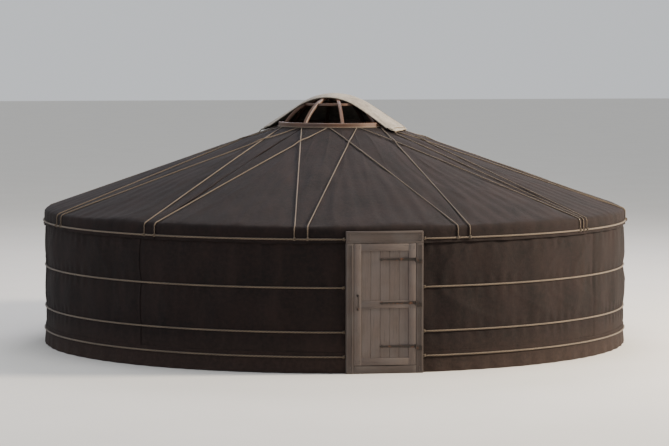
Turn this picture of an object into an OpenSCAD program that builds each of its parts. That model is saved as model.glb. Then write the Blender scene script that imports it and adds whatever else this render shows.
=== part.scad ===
// A large felt yurt: a round lattice wall and a conical pole roof under thick dark felt,
// with a wooden crown on four columns, a low framed door and a plank floor.
// The origin is on the ground at the middle of the floor. The door faces -Y, and +Z is up.

/* [Lattice wall] */
// Inside radius of the lattice wall
lattice_r = 4700; // [3800:50:5600]
// Height of the wall, up to which its laths are cut before they are trimmed under the roof felt
lattice_h = 2200; // [1900:20:2600]
// Thickness of the two crossed laths together
lattice_t = 24; // [16:1:40]
// Width of one lath
lath_w = 30; // [22:1:40]
// Length of the laths above the highest crossing and below the lowest
fork_h = 100; // [90:5:160]
// Number of lattice sections round the wall
lattice_sections = 8; // [6:1:10]
// Number of forks along the top of one section
section_heads = 12; // [9:1:14]
// Number of half diamonds between the lowest and the highest crossing
lattice_rows = 10; // [8:2:12]

/* [Roof poles and crown] */
// Radius of a roof pole
pole_r = 18; // [14:1:20]
// Width of the square tenon at the top of a pole
pole_tip_w = 24; // [16:1:26]
// How far the tenon goes into the crown's rim
pole_tip_depth = 50; // [30:2:60]
// Height above the ground at which the poles meet the rim
crown_z = 3480; // [3250:10:3750]
// Outside radius of the crown's rim
rim_r = 930; // [850:10:1100]
// Thickness of the rim
rim_t = 80; // [70:2:110]
// Depth of the rim below the poles
rim_below = 70; // [50:5:120]
// Height of the rim above the poles
rim_above = 140; // [110:5:180]
// How far the crown's wheel rises above its seat in the rim
crown_rise = 470; // [300:10:600]
// Width of a spoke
spoke_w = 56; // [40:2:80]
// Depth of a spoke
spoke_t = 48; // [36:2:70]
// Radius of the crown's middle ring
mid_ring_r = 470; // [380:10:560]
// Radius of the hub
hub_r = 120; // [90:5:160]
// Number of spokes
spokes = 8; // [6:2:12]

/* [Columns] */
// Width of a column across its flats
column_w = 110; // [90:5:140]
// Width of a column's foot block
column_foot_w = 190; // [150:10:240]
// Height of a column's foot block
column_foot_h = 90; // [60:5:140]
// Slant of the foot block's upper edges
column_foot_slant = 14; // [6:1:20]
// How far a collar stands out of the shaft
collar_proud = 14; // [6:1:20]
// Height of a collar
collar_h = 26; // [18:1:40]
// Height of the middle collar above the foot block
collar_mid = 1210; // [800:10:1600]
// Length of the bracket on top of a column
bracket_l = 480; // [380:10:560]
// Depth of the bracket
bracket_h = 170; // [120:5:220]
// Width of the bracket
bracket_w = 90; // [70:5:110]

/* [Floor] */
// Thickness of the plank floor
floor_t = 60; // [40:5:90]
// Gap between the floor's edge and the lattice
floor_margin = 10; // [5:1:30]
// Width of the floor's middle part
floor_mid_w = 3200; // [2400:100:3800]

/* [Door] */
// Clear width between the jambs
door_w = 950; // [800:10:1100]
// Clear height above the sill
door_h = 1840; // [1500:10:1840]
// Width of a jamb
jamb_w = 110; // [80:5:150]
// Height of the sill
sill_h = 120; // [80:5:180]
// Least height of the door head, which reaches up to the poles over the door
head_h = 180; // [120:5:240]
// How far the frame reaches inside the lattice
frame_inside = 60; // [40:5:120]
// How far the frame stands out of the wall cover
frame_proud = 40; // [20:5:80]
// Width of the bead round the sunk channel on the frame's front
bead_w = 24; // [16:1:34]
// Depth of the channel
channel_d = 7; // [4:1:12]
// Thickness of the door leaf
leaf_t = 45; // [36:1:60]
// Width of the leaf's outer stiles and rails
stile_w = 110; // [80:5:140]
// Depth of the leaf's sunk panels on each face
panel_sink = 12; // [6:1:15]
// Gap round the leaf
leaf_gap = 5; // [5:1:8]
// Radius of a hinge pin
hinge_pin_r = 7; // [5:0.5:9]
// Wall of a hinge knuckle
knuckle_t = 4; // [3:0.5:6]
// Height of a hinge knuckle
knuckle_h = 45; // [35:1:60]
// Length of a strap on the leaf
strap_l = 560; // [400:10:700]
// Thickness of the hinge iron
iron_t = 6; // [4:0.5:8]
// Radius of the handle's bar
handle_r = 9; // [7:0.5:12]
// Length of the handle
handle_l = 240; // [180:10:320]
// Room for the fingers behind the handle
handle_room = 45; // [38:1:60]

/* [Felt covers] */
// Thickness of the wall felt
wall_felt_t = 50; // [30:2:70]
// Extra thickness of the band round the foot of the wall
foot_band_t = 14; // [8:1:20]
// Height of the band round the foot of the wall
foot_band_h = 300; // [200:10:400]
// Thickness of the roof felt
roof_felt_t = 40; // [24:2:60]
// Thickness of the valance that hangs down from the eave
valance_t = 26; // [12:1:40]
// Height of the valance's lower edge above the ground
valance_z = 1960; // [1900:10:2040]
// Radius of the roof felt's bend over the eave
eave_r = 60; // [45:5:90]
// Thickness of the folded crown cover
crown_cover_t = 16; // [10:1:24]
// How far the crown cover reaches down over the roof
crown_cover_hang = 340; // [200:10:420]
// Thickness of the part of the crown cover that is folded back
flap_t = 12; // [8:1:20]
// Length of the part of the crown cover that is folded back
flap_l = 620; // [400:10:800]
// Bearing of the side on which the crown cover is folded back, counted from the door
crown_open_bearing = -30; // [-180:30:180]

/* [Ropes] */
// Radius of the belts round the wall
belt_r = 13; // [9:0.5:16]
// Height of the rope round the foot band
belt_foot_z = 250; // [150:10:280]
// Height of the lowest belt
belt_low_z = 620; // [500:10:800]
// Height of the middle belt
belt_mid_z = 1290; // [1100:10:1500]
// Distance of the top belt above the valance's lower edge
belt_top_rise = 60; // [40:5:90]
// Radius of the ropes over the roof
rope_r = 9; // [6:0.5:11]
// Number of rope pairs over the roof
rope_pairs = 12; // [8:2:16]
// Number of sides of a rope
rope_sides = 6; // [6:2:12]

/* [Hidden] */
// Gap at which one piece seats against another
seat = 0.3;
// Gap at which a straight stretch of rope clears the curved felt under it
rope_seat = 1.2;
// Gap between two felts or two lattice sections, and round the door frame in the floor
part_gap = 2;
// Clearance of a tenon in its socket, and of a hinge pin in its knuckle
socket_fit = 0.5;
pin_fit = 0.05;
// Eased edge of turned wood, and the depth of a groove turned in it
eased = 6;
groove = 5;
// Overshoot of a cutting shape
over = 5;
round_fn = 256;
small_fn = 32;

// The wall's layers, from the inside out
lattice_out = lattice_r + lattice_t;
felt_in = lattice_out + seat;
felt_out = felt_in + wall_felt_t;
valance_in = felt_out + seat;
valance_out = valance_in + valance_t;

// The door frame
frame_w = door_w + 2 * jamb_w;
frame_front = valance_out + frame_proud;
frame_back = lattice_r - frame_inside;
door_top = sill_h + door_h;

// The lattice starts where its inner corner clears the jamb
lattice_b0 = asin((frame_w / 2 + seat) / lattice_r);
section_span = (360 - 2 * lattice_b0) / lattice_sections;
head_pitch = section_span / section_heads;
cell_w = head_pitch * PI / 180 * (lattice_r + lattice_t / 2);
cell_h = 2 * (lattice_h - 2 * fork_h) / lattice_rows;
lath_angle = atan(cell_w / cell_h);
// A diamond hole is the cell less half a lath on each side
hole_share = 1 - lath_w / 2 / (cell_w / 2 * cos(lath_angle));

// A pole's foot lies in the fork of two laths, tangent to both
fork_z = lattice_h - fork_h + lath_w / 2 / sin(lath_angle);
pole_foot_z = fork_z + (pole_r + seat) / sin(lath_angle);
slope = atan((crown_z - pole_foot_z) / (lattice_out - rim_r));
function axis_z(r) = pole_foot_z + (lattice_out - r) * tan(slope);
function under_z(r) = axis_z(r) + (pole_r + seat) / cos(slope);
function roof_z(r) = under_z(r) + roof_felt_t / cos(slope);
pole_end_r = lattice_out - pole_r * sin(slope);
pole_top_r = rim_r + seat + pole_r * sin(slope);
// The poles over the door divide the space between the two outermost forks
door_span = 2 * lattice_b0 + head_pitch;
door_spaces = floor(door_span / head_pitch + 0.5);
// The head stands up to the poles over the door, or through the roof's edge where the wall is low
head_top = max(door_top + head_h, axis_z(pole_end_r) - pole_r * cos(slope) - seat);
door_pole_end_r = lattice_out - (head_top + seat + pole_r * cos(slope) - pole_foot_z) / tan(slope);
// The laths' tips end under the roof felt
tip_z = under_z(lattice_out) - part_gap;

// The crown's wheel is part of a sphere that passes through the rim's inner face
rim_in = rim_r - rim_t;
rim_top = crown_z + rim_above;
wheel_seat_z = crown_z + rim_above - 25;
wheel_r = (pow(rim_in, 2) + pow(crown_rise, 2)) / (2 * crown_rise);
wheel_c = wheel_seat_z + crown_rise - wheel_r;
function wheel_z(r) = wheel_c + sqrt(pow(wheel_r, 2) - pow(r, 2));
column_ring_r = rim_r - rim_t / 2;

// The door leaf and its hinges
leaf_w = door_w - 2 * leaf_gap;
leaf_h = door_h - 2 * leaf_gap;
leaf_z = sill_h + leaf_gap;
knuckle_r = hinge_pin_r + pin_fit + knuckle_t;
hinge_x = door_w / 2 - leaf_gap / 2;
hinge_y = -frame_front - knuckle_r - 3;
hinge_zs = [leaf_z + 260, leaf_z + leaf_h / 2, leaf_z + leaf_h - 260];
strap_w = knuckle_h;
handle_x = -leaf_w / 2 + stile_w / 2;
handle_z = leaf_z + leaf_h * 0.52;

// The ropes' levels
belt_top_z = valance_z + belt_top_rise;
ring_rope_r = rim_r + seat + rope_r;
rope_start_r = rim_r + 2 * seat + 3 * rope_r;
rope_step = 360 / rope_pairs;
// Bearing of a rope's ends from the middle of its pair, at the crown and at the eave
top_spread = 2;
eave_spread = 1.2;

QUARTERS = ["front", "right", "back", "left"];
CORNERS = ["front_right", "back_right", "back_left", "front_left"];

// Turns a shape that points along +X to a bearing, counted from the door
module at_bearing(b) rotate([0, 0, b - 90]) children();

// Part of a ring between two bearings, from a profile in radius and height
module ring_part(from, to) at_bearing(from)
    rotate_extrude(angle = to - from, $fn = round_fn) children();

function plan_point(b, r) = [r * sin(b), -r * cos(b)];

// The space that the door frame takes, with a margin round it
module frame_space(margin, top) translate([-frame_w / 2 - margin, -frame_front - 200, -over])
    cube([frame_w + 2 * margin, frame_front - frame_back + margin + 200, top + over]);

module floor_part(from_x, to_x) color("peru") difference() {
    intersection() {
        cylinder(r = lattice_r - floor_margin, h = floor_t, $fn = round_fn);
        translate([from_x, -lattice_r, 0]) cube([to_x - from_x, 2 * lattice_r, floor_t]);
    }
    frame_space(part_gap, floor_t + over);
}

// A diamond in the plane of the wall
module diamond_hole(b, z) at_bearing(b) translate([lattice_r - over, 0, z]) rotate([90, 0, 90])
    linear_extrude(lattice_t + 2 * over) polygon([
        [-cell_w / 2 * hole_share, 0], [0, -cell_h / 2 * hole_share],
        [cell_w / 2 * hole_share, 0], [0, cell_h / 2 * hole_share]]);

// One section of the wall: crossed laths with forks at the top and feet on the ground
module lattice_section(i) color("sienna") difference() {
    first_b = lattice_b0 + i * section_span;
    gap_b = part_gap / 2 / lattice_r * 180 / PI;
    bearings = concat([first_b + gap_b],
        [for (k = [1:2 * section_heads]) first_b + (k - 0.5) * head_pitch / 2],
        [first_b + section_span - gap_b]);
    linear_extrude(tip_z) polygon(concat(
        [for (b = bearings) plan_point(b, lattice_r)],
        [for (k = [len(bearings) - 1:-1:0]) plan_point(bearings[k], lattice_out)]));
    for (row = [-1:lattice_rows + 1]) {
        shift = row % 2 == 0 ? 0 : 0.5;
        for (col = [0:section_heads - 2 * shift])
            diamond_hole(first_b + (col + shift) * head_pitch, fork_h + row * cell_h / 2);
    }
}

// The bearing and the foot's radius of each pole: one in each fork, and a few on the door head
poles = concat(
    [for (i = [0:lattice_sections * section_heads - 1])
        [lattice_b0 + (i + 0.5) * head_pitch, pole_end_r]],
    [for (k = [1:door_spaces - 1]) [(k / door_spaces - 0.5) * door_span, door_pole_end_r]]
);

// Places a shape on a pole's axis at radius r, with +X pointing up the pole
module on_pole(b, r) at_bearing(b) translate([r, 0, axis_z(r)]) rotate([0, -slope, 180]) children();

module pole(b, foot_r) {
    length = (foot_r - pole_top_r) / cos(slope);
    on_pole(b, foot_r) {
        rotate([0, 90, 0]) cylinder(r = pole_r, h = length, $fn = small_fn);
        translate([length - pole_r, -pole_tip_w / 2, -pole_tip_w / 2])
            cube([pole_r + pole_tip_depth, pole_tip_w, pole_tip_w]);
    }
}

// The poles whose bearings lie in one quarter of the circle
module pole_quarter(q) color("sienna") for (p = poles) {
    turn = (p[0] + 45 + 360) % 360;
    if (floor(turn / 90) == q) pole(p[0], p[1]);
}

module pole_socket(b) on_pole(b, rim_r + seat + pole_r)
    translate([0, -pole_tip_w / 2 - socket_fit, -pole_tip_w / 2 - socket_fit])
        cube([pole_r + pole_tip_depth + 3, pole_tip_w + 2 * socket_fit, pole_tip_w + 2 * socket_fit]);

// The rim's cross-section: eased corners, and two grooves that leave beads on its inner face
module rim_section() {
    low = crown_z - rim_below;
    polygon(concat(
        [[rim_in + eased, low], [rim_r - eased, low], [rim_r, low + eased],
            [rim_r, rim_top - eased], [rim_r - eased, rim_top], [rim_in + eased, rim_top],
            [rim_in, rim_top - eased]],
        [for (z = [rim_top - rim_t * 0.42, low + rim_t * 0.42]) each [
            [rim_in, z + groove], [rim_in + groove, z], [rim_in, z - groove]]],
        [[rim_in, low + eased]]));
}

module crown_rim() color("chocolate") difference() {
    rotate_extrude($fn = round_fn) rim_section();
    for (p = poles) pole_socket(p[0]);
}

// A spoke's side view: a band of the wheel's sphere, from the hub to where its corners meet the rim
spoke_end = sqrt(pow(rim_in - seat, 2) - pow(spoke_w / 2, 2));
module spoke_profile() intersection() {
    translate([0, wheel_c]) difference() {
        circle(r = wheel_r, $fn = round_fn);
        circle(r = wheel_r - spoke_t, $fn = round_fn);
    }
    translate([hub_r + seat, crown_z]) square([spoke_end - hub_r - seat, wheel_r]);
}

module crown_wheel() color("chocolate") {
    for (k = [0:spokes - 1]) at_bearing(k * 360 / spokes) rotate([90, 0, 0])
        linear_extrude(spoke_w, center = true) spoke_profile();
    rotate_extrude($fn = round_fn)
        translate([mid_ring_r - spoke_w / 2, wheel_z(mid_ring_r + spoke_w / 2) - spoke_t * 0.9])
            square([spoke_w, spoke_t * 0.85]);
}

// The hub: a turned boss with a groove round it, and a boss below within a raised ring
module crown_hub() color("chocolate") {
    top = wheel_z(hub_r);
    low = top - spoke_t - 20;
    mid = low + 28;
    rotate_extrude($fn = 64) polygon([
        [0, low + eased * 1.6], [hub_r * 0.42, low + eased * 1.3], [hub_r * 0.6, low],
        [hub_r - 2 * eased, low], [hub_r, low + 2 * eased], [hub_r, mid - groove],
        [hub_r - groove, mid], [hub_r, mid + groove], [hub_r, top - eased],
        [hub_r - eased, top], [0, top + groove * 0.8]]);
}

// A turned collar that stands out of a column's shaft
module collar(z) translate([0, 0, z]) rotate_extrude($fn = small_fn) polygon([
    [0, 0], [column_w / 2 + collar_proud - groove, 0], [column_w / 2 + collar_proud, groove],
    [column_w / 2 + collar_proud, collar_h - groove],
    [column_w / 2 + collar_proud - groove, collar_h], [0, collar_h]]);

// A column: foot block, eight-sided shaft with collars, and a bracket with scooped arms under the rim
module column(b) color("chocolate") at_bearing(b) translate([column_ring_r, 0, 0]) {
    top = crown_z - rim_below - seat;
    foot = floor_t + seat;
    scoop = bracket_h * 0.72;
    translate([-column_foot_w / 2, -column_foot_w / 2, foot])
        cube([column_foot_w, column_foot_w, column_foot_h - column_foot_slant]);
    translate([0, 0, foot + column_foot_h - column_foot_slant]) rotate([0, 0, 45])
        cylinder(d1 = column_foot_w * sqrt(2), d2 = (column_foot_w - 2 * column_foot_slant) * sqrt(2),
            h = column_foot_slant, $fn = 4);
    for (z = [foot + column_foot_h, foot + column_foot_h + collar_mid, top - bracket_h - 1.35 * collar_h])
        collar(z);
    translate([0, 0, foot + column_foot_h - 1]) rotate([0, 0, 22.5])
        cylinder(d = column_w / cos(22.5), h = top - foot - column_foot_h - bracket_h + 2, $fn = 8);
    rotate([90, 0, 90]) linear_extrude(bracket_w, center = true) difference() {
        translate([-bracket_l / 2, top - bracket_h]) square([bracket_l, bracket_h]);
        for (side = [-1, 1]) translate([side * bracket_l / 2, top - bracket_h])
            circle(r = scoop, $fn = 64);
    }
}

// A squared timber of the frame, with a sunk channel along its front that leaves a bead round it
module frame_timber(w, h) difference() {
    cube([w, frame_front - frame_back, h]);
    translate([bead_w, -over, bead_w]) cube([w - 2 * bead_w, channel_d + over, h - 2 * bead_w]);
}

module jamb(side) color("saddlebrown")
    translate([side > 0 ? door_w / 2 : -door_w / 2 - jamb_w, -frame_front, 0])
        frame_timber(jamb_w, door_top);

module door_head() color("saddlebrown") translate([-frame_w / 2, -frame_front, door_top])
    frame_timber(frame_w, head_top - door_top);

module door_sill() color("saddlebrown") translate([-door_w / 2, -frame_front, 0])
    cube([door_w, frame_front - frame_back, sill_h]);

// A pin that stands up from a lug on a plate fixed to the jamb
module hinge_pin(z) translate([hinge_x, hinge_y, z]) {
    lug_h = 22;
    plate_x = door_w / 2 + 14 - hinge_x;
    plate_y = -frame_front - seat - hinge_y;
    translate([0, 0, -lug_h]) cylinder(r = knuckle_r, h = lug_h - pin_fit, $fn = small_fn);
    cylinder(r = hinge_pin_r, h = knuckle_h + 6, $fn = small_fn);
    translate([0, 0, -lug_h / 2]) cylinder(r = hinge_pin_r, h = lug_h, $fn = small_fn);
    translate([0, -iron_t / 2, -lug_h]) cube([plate_x + iron_t, iron_t, lug_h - pin_fit]);
    translate([plate_x, -iron_t / 2, -lug_h])
        cube([iron_t, plate_y + iron_t / 2, lug_h - pin_fit]);
    translate([plate_x, plate_y - iron_t, -lug_h - 20])
        cube([jamb_w - 34, iron_t, lug_h + 40]);
}

module hinge_pins() color("dimgray") for (z = hinge_zs) hinge_pin(z);

// The leaf: stiles and rails round two sunk panels on each face
module door_leaf() color("saddlebrown") translate([-leaf_w / 2, -frame_front, leaf_z]) {
    panel_w = leaf_w - 2 * stile_w;
    panel_h = (leaf_h - 3 * stile_w) / 2;
    difference() {
        cube([leaf_w, leaf_t, leaf_h]);
        for (row = [0, 1]) for (face = [-over, leaf_t - panel_sink])
            translate([stile_w, face, stile_w + row * (panel_h + stile_w)])
                cube([panel_w, panel_sink + over, panel_h]);
    }
}

// A strap's outline in half-widths: it tapers along the leaf and ends in a spade point
strap_half = [[-knuckle_r + iron_t, 1], [75 - strap_l, 0.6], [63 - strap_l, 0.5],
    [40 - strap_l, 1], [22 - strap_l, 0.8], [8 - strap_l, 0.35]];
module strap_outline() polygon(concat(
    [for (p = strap_half) [p[0], strap_w / 2 * (1 + p[1])]],
    [[-strap_l, strap_w / 2]],
    [for (k = [len(strap_half) - 1:-1:0]) [strap_half[k][0], strap_w / 2 * (1 - strap_half[k][1])]]));

// A strap on the leaf's face that ends in the knuckle round the pin
module door_strap(z) {
    face_y = -frame_front - seat;
    difference() {
        union() {
            translate([hinge_x, hinge_y, z]) cylinder(r = knuckle_r, h = knuckle_h, $fn = small_fn);
            translate([hinge_x - knuckle_r, hinge_y, z])
                cube([iron_t, face_y - hinge_y, knuckle_h]);
            translate([hinge_x, face_y, z]) rotate([90, 0, 0])
                linear_extrude(iron_t) strap_outline();
        }
        translate([hinge_x, hinge_y, z - over])
            cylinder(r = hinge_pin_r + pin_fit, h = knuckle_h + 2 * over, $fn = small_fn);
    }
}

module door_straps() color("dimgray") for (z = hinge_zs) door_strap(z);

// A turned bar on two posts that stand on round plates
module door_handle() color("dimgray") translate([handle_x, -frame_front - seat, handle_z]) {
    bar_y = -handle_room - handle_r;
    translate([0, bar_y, -handle_l / 2]) cylinder(r = handle_r, h = handle_l, $fn = small_fn);
    for (end = [-1, 1]) translate([0, 0, end * (handle_l / 2 - 2 * handle_r)]) rotate([90, 0, 0]) {
        cylinder(r = handle_r * 0.8, h = -bar_y, $fn = small_fn);
        cylinder(r = handle_r * 2, h = iron_t, $fn = small_fn);
    }
}

// A quarter of the wall felt, thicker round its foot, cut square against the door frame
module wall_felt(c) color([0.20, 0.16, 0.15]) difference() {
    gap_b = part_gap / 2 / felt_in * 180 / PI;
    from = c == 0 ? lattice_b0 - 2 : c * 90 + gap_b;
    to = c == 3 ? 360 - lattice_b0 + 2 : (c + 1) * 90 - gap_b;
    top = under_z(felt_out) - seat;
    ring_part(from, to) polygon([
        [felt_in, 0], [felt_out + foot_band_t, 0], [felt_out + foot_band_t, foot_band_h],
        [felt_out, foot_band_h + foot_band_t], [felt_out, top], [felt_in, top]]);
    frame_space(seat, top + over);
}

// The roof felt bends over the eave round a centre in the plane of radius and height
eave_turn = 90 - slope;
eave_centre = [valance_out - eave_r, roof_z(valance_out) - eave_r * tan(eave_turn / 2)];
eave_in = valance_out - eave_r * tan(eave_turn / 2) * cos(slope);
function eave_point(r, a) = eave_centre + r * [cos(a), sin(a)];

// A quarter of the roof felt, with the valance that hangs over the top of the wall
module roof_felt(q) color([0.17, 0.13, 0.12]) difference() {
    gap_b = part_gap / 2 / valance_in * 180 / PI;
    hole_r = rim_r + seat;
    ring_part(q * 90 - 45 + gap_b, q * 90 + 45 - gap_b) polygon(concat(
        [[hole_r, under_z(hole_r)], [hole_r, roof_z(hole_r)]],
        [for (k = [6:-1:0]) eave_point(eave_r, eave_turn * k / 6)],
        [[valance_out, valance_z], [valance_in, valance_z], [valance_in, under_z(valance_in)]]));
    frame_space(seat, head_top + seat);
}

// The crown cover: a taut felt that leaves the crown's dome on a tangent and runs straight to
// its brim over the ropes on the roof. It is folded back on one side.
cover_r = norm([wheel_r, spoke_w / 2]) + 2 * seat;
brim_r = rim_r + crown_cover_hang;
brim_z = roof_z(brim_r) + (2 * rope_r + rope_seat + seat) / cos(slope);
touch_angle = atan2(brim_z - wheel_c, brim_r) + acos(cover_r / norm([brim_r, brim_z - wheel_c]));
cover_edge = brim_r * cos(75) - 15;
dome_steps = 20;
function dome_point(r, k) = let (angle = 90 - (90 - touch_angle) * k / dome_steps)
    [r * cos(angle), wheel_c + r * sin(angle)];

// A layer of the cover between two heights off the dome, up to the fold and as long as it says
module cover_layer(low, high, length) intersection() {
    out = [cos(touch_angle), sin(touch_angle)];
    rotate_extrude($fn = round_fn) polygon(concat(
        [for (k = [0:dome_steps]) dome_point(cover_r + high, k)],
        [[brim_r, brim_z] + high * out, [brim_r, brim_z] + low * out],
        [for (k = [dome_steps:-1:0]) dome_point(cover_r + low, k)]));
    at_bearing(crown_open_bearing) translate([cover_edge - length, -2 * brim_r, 0])
        cube([length, 4 * brim_r, 2 * crown_z]);
}

module crown_cover() color("lightgray") {
    cover_layer(0, crown_cover_t, 2 * brim_r);
    cover_layer(crown_cover_t - 1, crown_cover_t + flap_t, flap_l);
}

// A tube along a route; each stop holds a point and the felt's outward normal there
module rope(stops, radius) {
    n = len(stops);
    function along(i) = stops[min(i + 1, n - 1)][0] - stops[max(i - 1, 0)][0];
    points = [for (i = [0:n - 1])
        let (out = stops[i][1], side = cross(along(i), out) / norm(cross(along(i), out)),
            up = cross(side, along(i)) / norm(cross(side, along(i))))
        for (k = [0:rope_sides - 1])
            stops[i][0] + radius * (up * cos(k * 360 / rope_sides) + side * sin(k * 360 / rope_sides))];
    polyhedron(points, concat(
        [[for (k = [0:rope_sides - 1]) k]],
        [for (i = [0:n - 2]) for (k = [0:rope_sides - 1])
            let (a = i * rope_sides + k, b = i * rope_sides + (k + 1) % rope_sides)
                each [[a, a + rope_sides, b + rope_sides], [a, b + rope_sides, b]]],
        [[for (k = [rope_sides - 1:-1:0]) (n - 1) * rope_sides + k]]
    ));
}

function bearing_point(b, r, z) = [r * sin(b), -r * cos(b), z];
function roof_normal(b) = [sin(b) * sin(slope), -cos(b) * sin(slope), cos(slope)];
// A stop on the roof at a bearing and radius, lifted off the felt
function roof_stop(b, r, lift) =
    [bearing_point(b, r, roof_z(r)) + roof_normal(b) * lift, roof_normal(b)];
// The stops that take a rope round the eave and down to the top belt
function eave_stops(b) = concat(
    [for (k = [4:-1:0]) let (a = eave_turn * k / 4, p = eave_point(eave_r + rope_seat + rope_r, a))
        [bearing_point(b, p.x, p.y), bearing_point(b, cos(a), sin(a))]],
    [[bearing_point(b, valance_out + rope_seat + rope_r, belt_top_z + belt_r + seat),
        bearing_point(b, 1, 0)]]);

// A taut rope runs straight on the unrolled cone, from the crown to the eave
function unrolled(r, b) = r / cos(slope) * [cos(b * cos(slope)), sin(b * cos(slope))];
route_start = unrolled(rope_start_r, top_spread);
route_end = unrolled(eave_in - 20, rope_step - eave_spread);
route_run = route_end - route_start;
// Neighbouring ropes cross halfway between two pairs
half_turn = tan(rope_step / 2 * cos(slope));
cross_t = (route_start.x * half_turn - route_start.y) / (route_run.y - route_run.x * half_turn);
hump_t = 220 / norm(route_run);
route_ts = concat([0.02], [for (k = [-2:2]) cross_t + k * hump_t / 2],
    [for (k = [1:5]) cross_t + hump_t + (1 - cross_t - hump_t) * k / 5]);
function on_route(t) = route_start + route_run * t;
function route_r(t) = norm(on_route(t)) * cos(slope);
function route_b(t) = atan2(on_route(t).y, on_route(t).x) / cos(slope);
function hump(t) = pow(cos(90 * min(1, abs(t - cross_t) / hump_t)), 2);

// One rope of a pair. The second of a pair passes over the first where they cross.
module roof_rope(b, way) rope(concat(
    [for (t = route_ts) roof_stop(b + way * route_b(t), route_r(t),
        rope_r + rope_seat + (way < 0 ? hump(t) * (2 * rope_r + rope_seat) : 0))],
    eave_stops(b + way * (rope_step - eave_spread))), rope_r);

module roof_ropes() color("tan") {
    translate([0, 0, roof_z(ring_rope_r) + rope_r / cos(slope) + seat])
        rotate_extrude($fn = round_fn) translate([ring_rope_r, 0]) circle(r = rope_r, $fn = small_fn);
    for (i = [0:rope_pairs - 1]) for (way = [-1, 1]) roof_rope((i + 0.5) * rope_step, way);
}

// The cords that hold the crown cover's corners down to the top belt
module crown_cover_ropes() color("tan") {
    start_r = brim_r + seat;
    for (turn = [75, 135, 225, 285]) let (b = crown_open_bearing + turn) rope(concat(
        [for (t = [0:0.25:1]) roof_stop(b, start_r + (eave_in - 20 - start_r) * t,
            rope_r + rope_seat)], eave_stops(b)), rope_r);
}

// A rope round the wall, from jamb to jamb
module belt(r, z) color("tan") difference() {
    rotate_extrude($fn = round_fn) translate([r + seat + belt_r, z])
        circle(r = belt_r, $fn = small_fn);
    frame_space(seat, z + 2 * belt_r);
}

floor_part(-lattice_r, -floor_mid_w / 2 - seat);  // floor_left
floor_part(-floor_mid_w / 2, floor_mid_w / 2);  // floor_middle
floor_part(floor_mid_w / 2 + seat, lattice_r);  // floor_right
for (i = [1:lattice_sections])
    lattice_section(i - 1);
for (q = [0:3]) pole_quarter(q);
crown_rim();
crown_wheel();
crown_hub();
for (c = [0:3]) column(c * 90 + 45);
jamb(-1);  // jamb_left
jamb(1);  // jamb_right
door_head();
door_sill();
hinge_pins();
door_leaf();
door_straps();
door_handle();
for (c = [0:3]) wall_felt(c);
for (q = [0:3]) roof_felt(q);
crown_cover();
crown_cover_ropes();
belt(felt_out + foot_band_t, belt_foot_z);  // belt_foot
belt(felt_out, belt_low_z);  // belt_low
belt(felt_out, belt_mid_z);  // belt_middle
belt(valance_out, belt_top_z);  // belt_top
roof_ropes();
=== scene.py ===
"""Looks for a felt yurt: a lattice wall and a pole roof under dark felt, with a pale crown cover.

Metres, with z up and the origin on the ground at the middle of the floor. A bearing is counted in
degrees from the door, which faces -Y, towards +X.
"""
import random
from math import acos, asin, atan, atan2, cos, degrees, exp, hypot, pi, radians, sin, sqrt, tan

import bmesh
import bpy
from mathutils import Matrix, Vector, noise


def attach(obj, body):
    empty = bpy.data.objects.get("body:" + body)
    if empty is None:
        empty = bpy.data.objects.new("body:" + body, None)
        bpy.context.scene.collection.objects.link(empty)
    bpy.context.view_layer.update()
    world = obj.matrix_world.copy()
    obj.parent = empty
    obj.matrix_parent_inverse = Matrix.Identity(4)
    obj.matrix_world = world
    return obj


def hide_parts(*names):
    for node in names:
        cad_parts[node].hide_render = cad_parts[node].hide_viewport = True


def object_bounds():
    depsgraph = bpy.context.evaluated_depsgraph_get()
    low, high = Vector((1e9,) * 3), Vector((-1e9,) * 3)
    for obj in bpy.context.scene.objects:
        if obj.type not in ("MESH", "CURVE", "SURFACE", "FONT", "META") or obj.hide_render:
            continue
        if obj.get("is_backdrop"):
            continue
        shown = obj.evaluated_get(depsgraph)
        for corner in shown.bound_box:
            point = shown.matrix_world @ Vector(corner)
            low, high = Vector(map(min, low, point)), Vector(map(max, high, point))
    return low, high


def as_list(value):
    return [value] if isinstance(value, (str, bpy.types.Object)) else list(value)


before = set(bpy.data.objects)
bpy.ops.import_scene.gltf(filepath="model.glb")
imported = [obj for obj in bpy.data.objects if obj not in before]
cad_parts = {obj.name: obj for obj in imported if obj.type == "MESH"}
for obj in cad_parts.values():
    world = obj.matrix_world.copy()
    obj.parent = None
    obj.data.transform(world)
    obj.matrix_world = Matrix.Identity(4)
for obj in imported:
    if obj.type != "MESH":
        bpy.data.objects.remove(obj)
cad_low, cad_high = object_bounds()
bpy.ops.object.select_all(action="DESELECT")

UP, ACROSS = (0, 0, 1), (1, 0, 0)
# Gap at which one piece seats against another
SEAT = 0.0003

# Lattice wall
FRAME_SIDE = 0.585
LATTICE_IN, LATTICE_MID, LATTICE_OUT, LATTICE_TOP = 4.700, 4.712, 4.724, 2.200
LATH_W, LATH_HALF_T = 0.030, 0.0056
SECTIONS, HEADS, ROWS = 8, 12, 10
FORK_H = 0.100
LATTICE_START = degrees(asin((FRAME_SIDE + SEAT) / LATTICE_IN))
SECTION_SPAN = (360 - 2 * LATTICE_START) / SECTIONS
HEAD_PITCH = SECTION_SPAN / HEADS
CELL_W = radians(HEAD_PITCH) * LATTICE_MID
CELL_H = 2 * (LATTICE_TOP - 2 * FORK_H) / ROWS
LATH_LEAN = atan(CELL_W / CELL_H)

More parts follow.
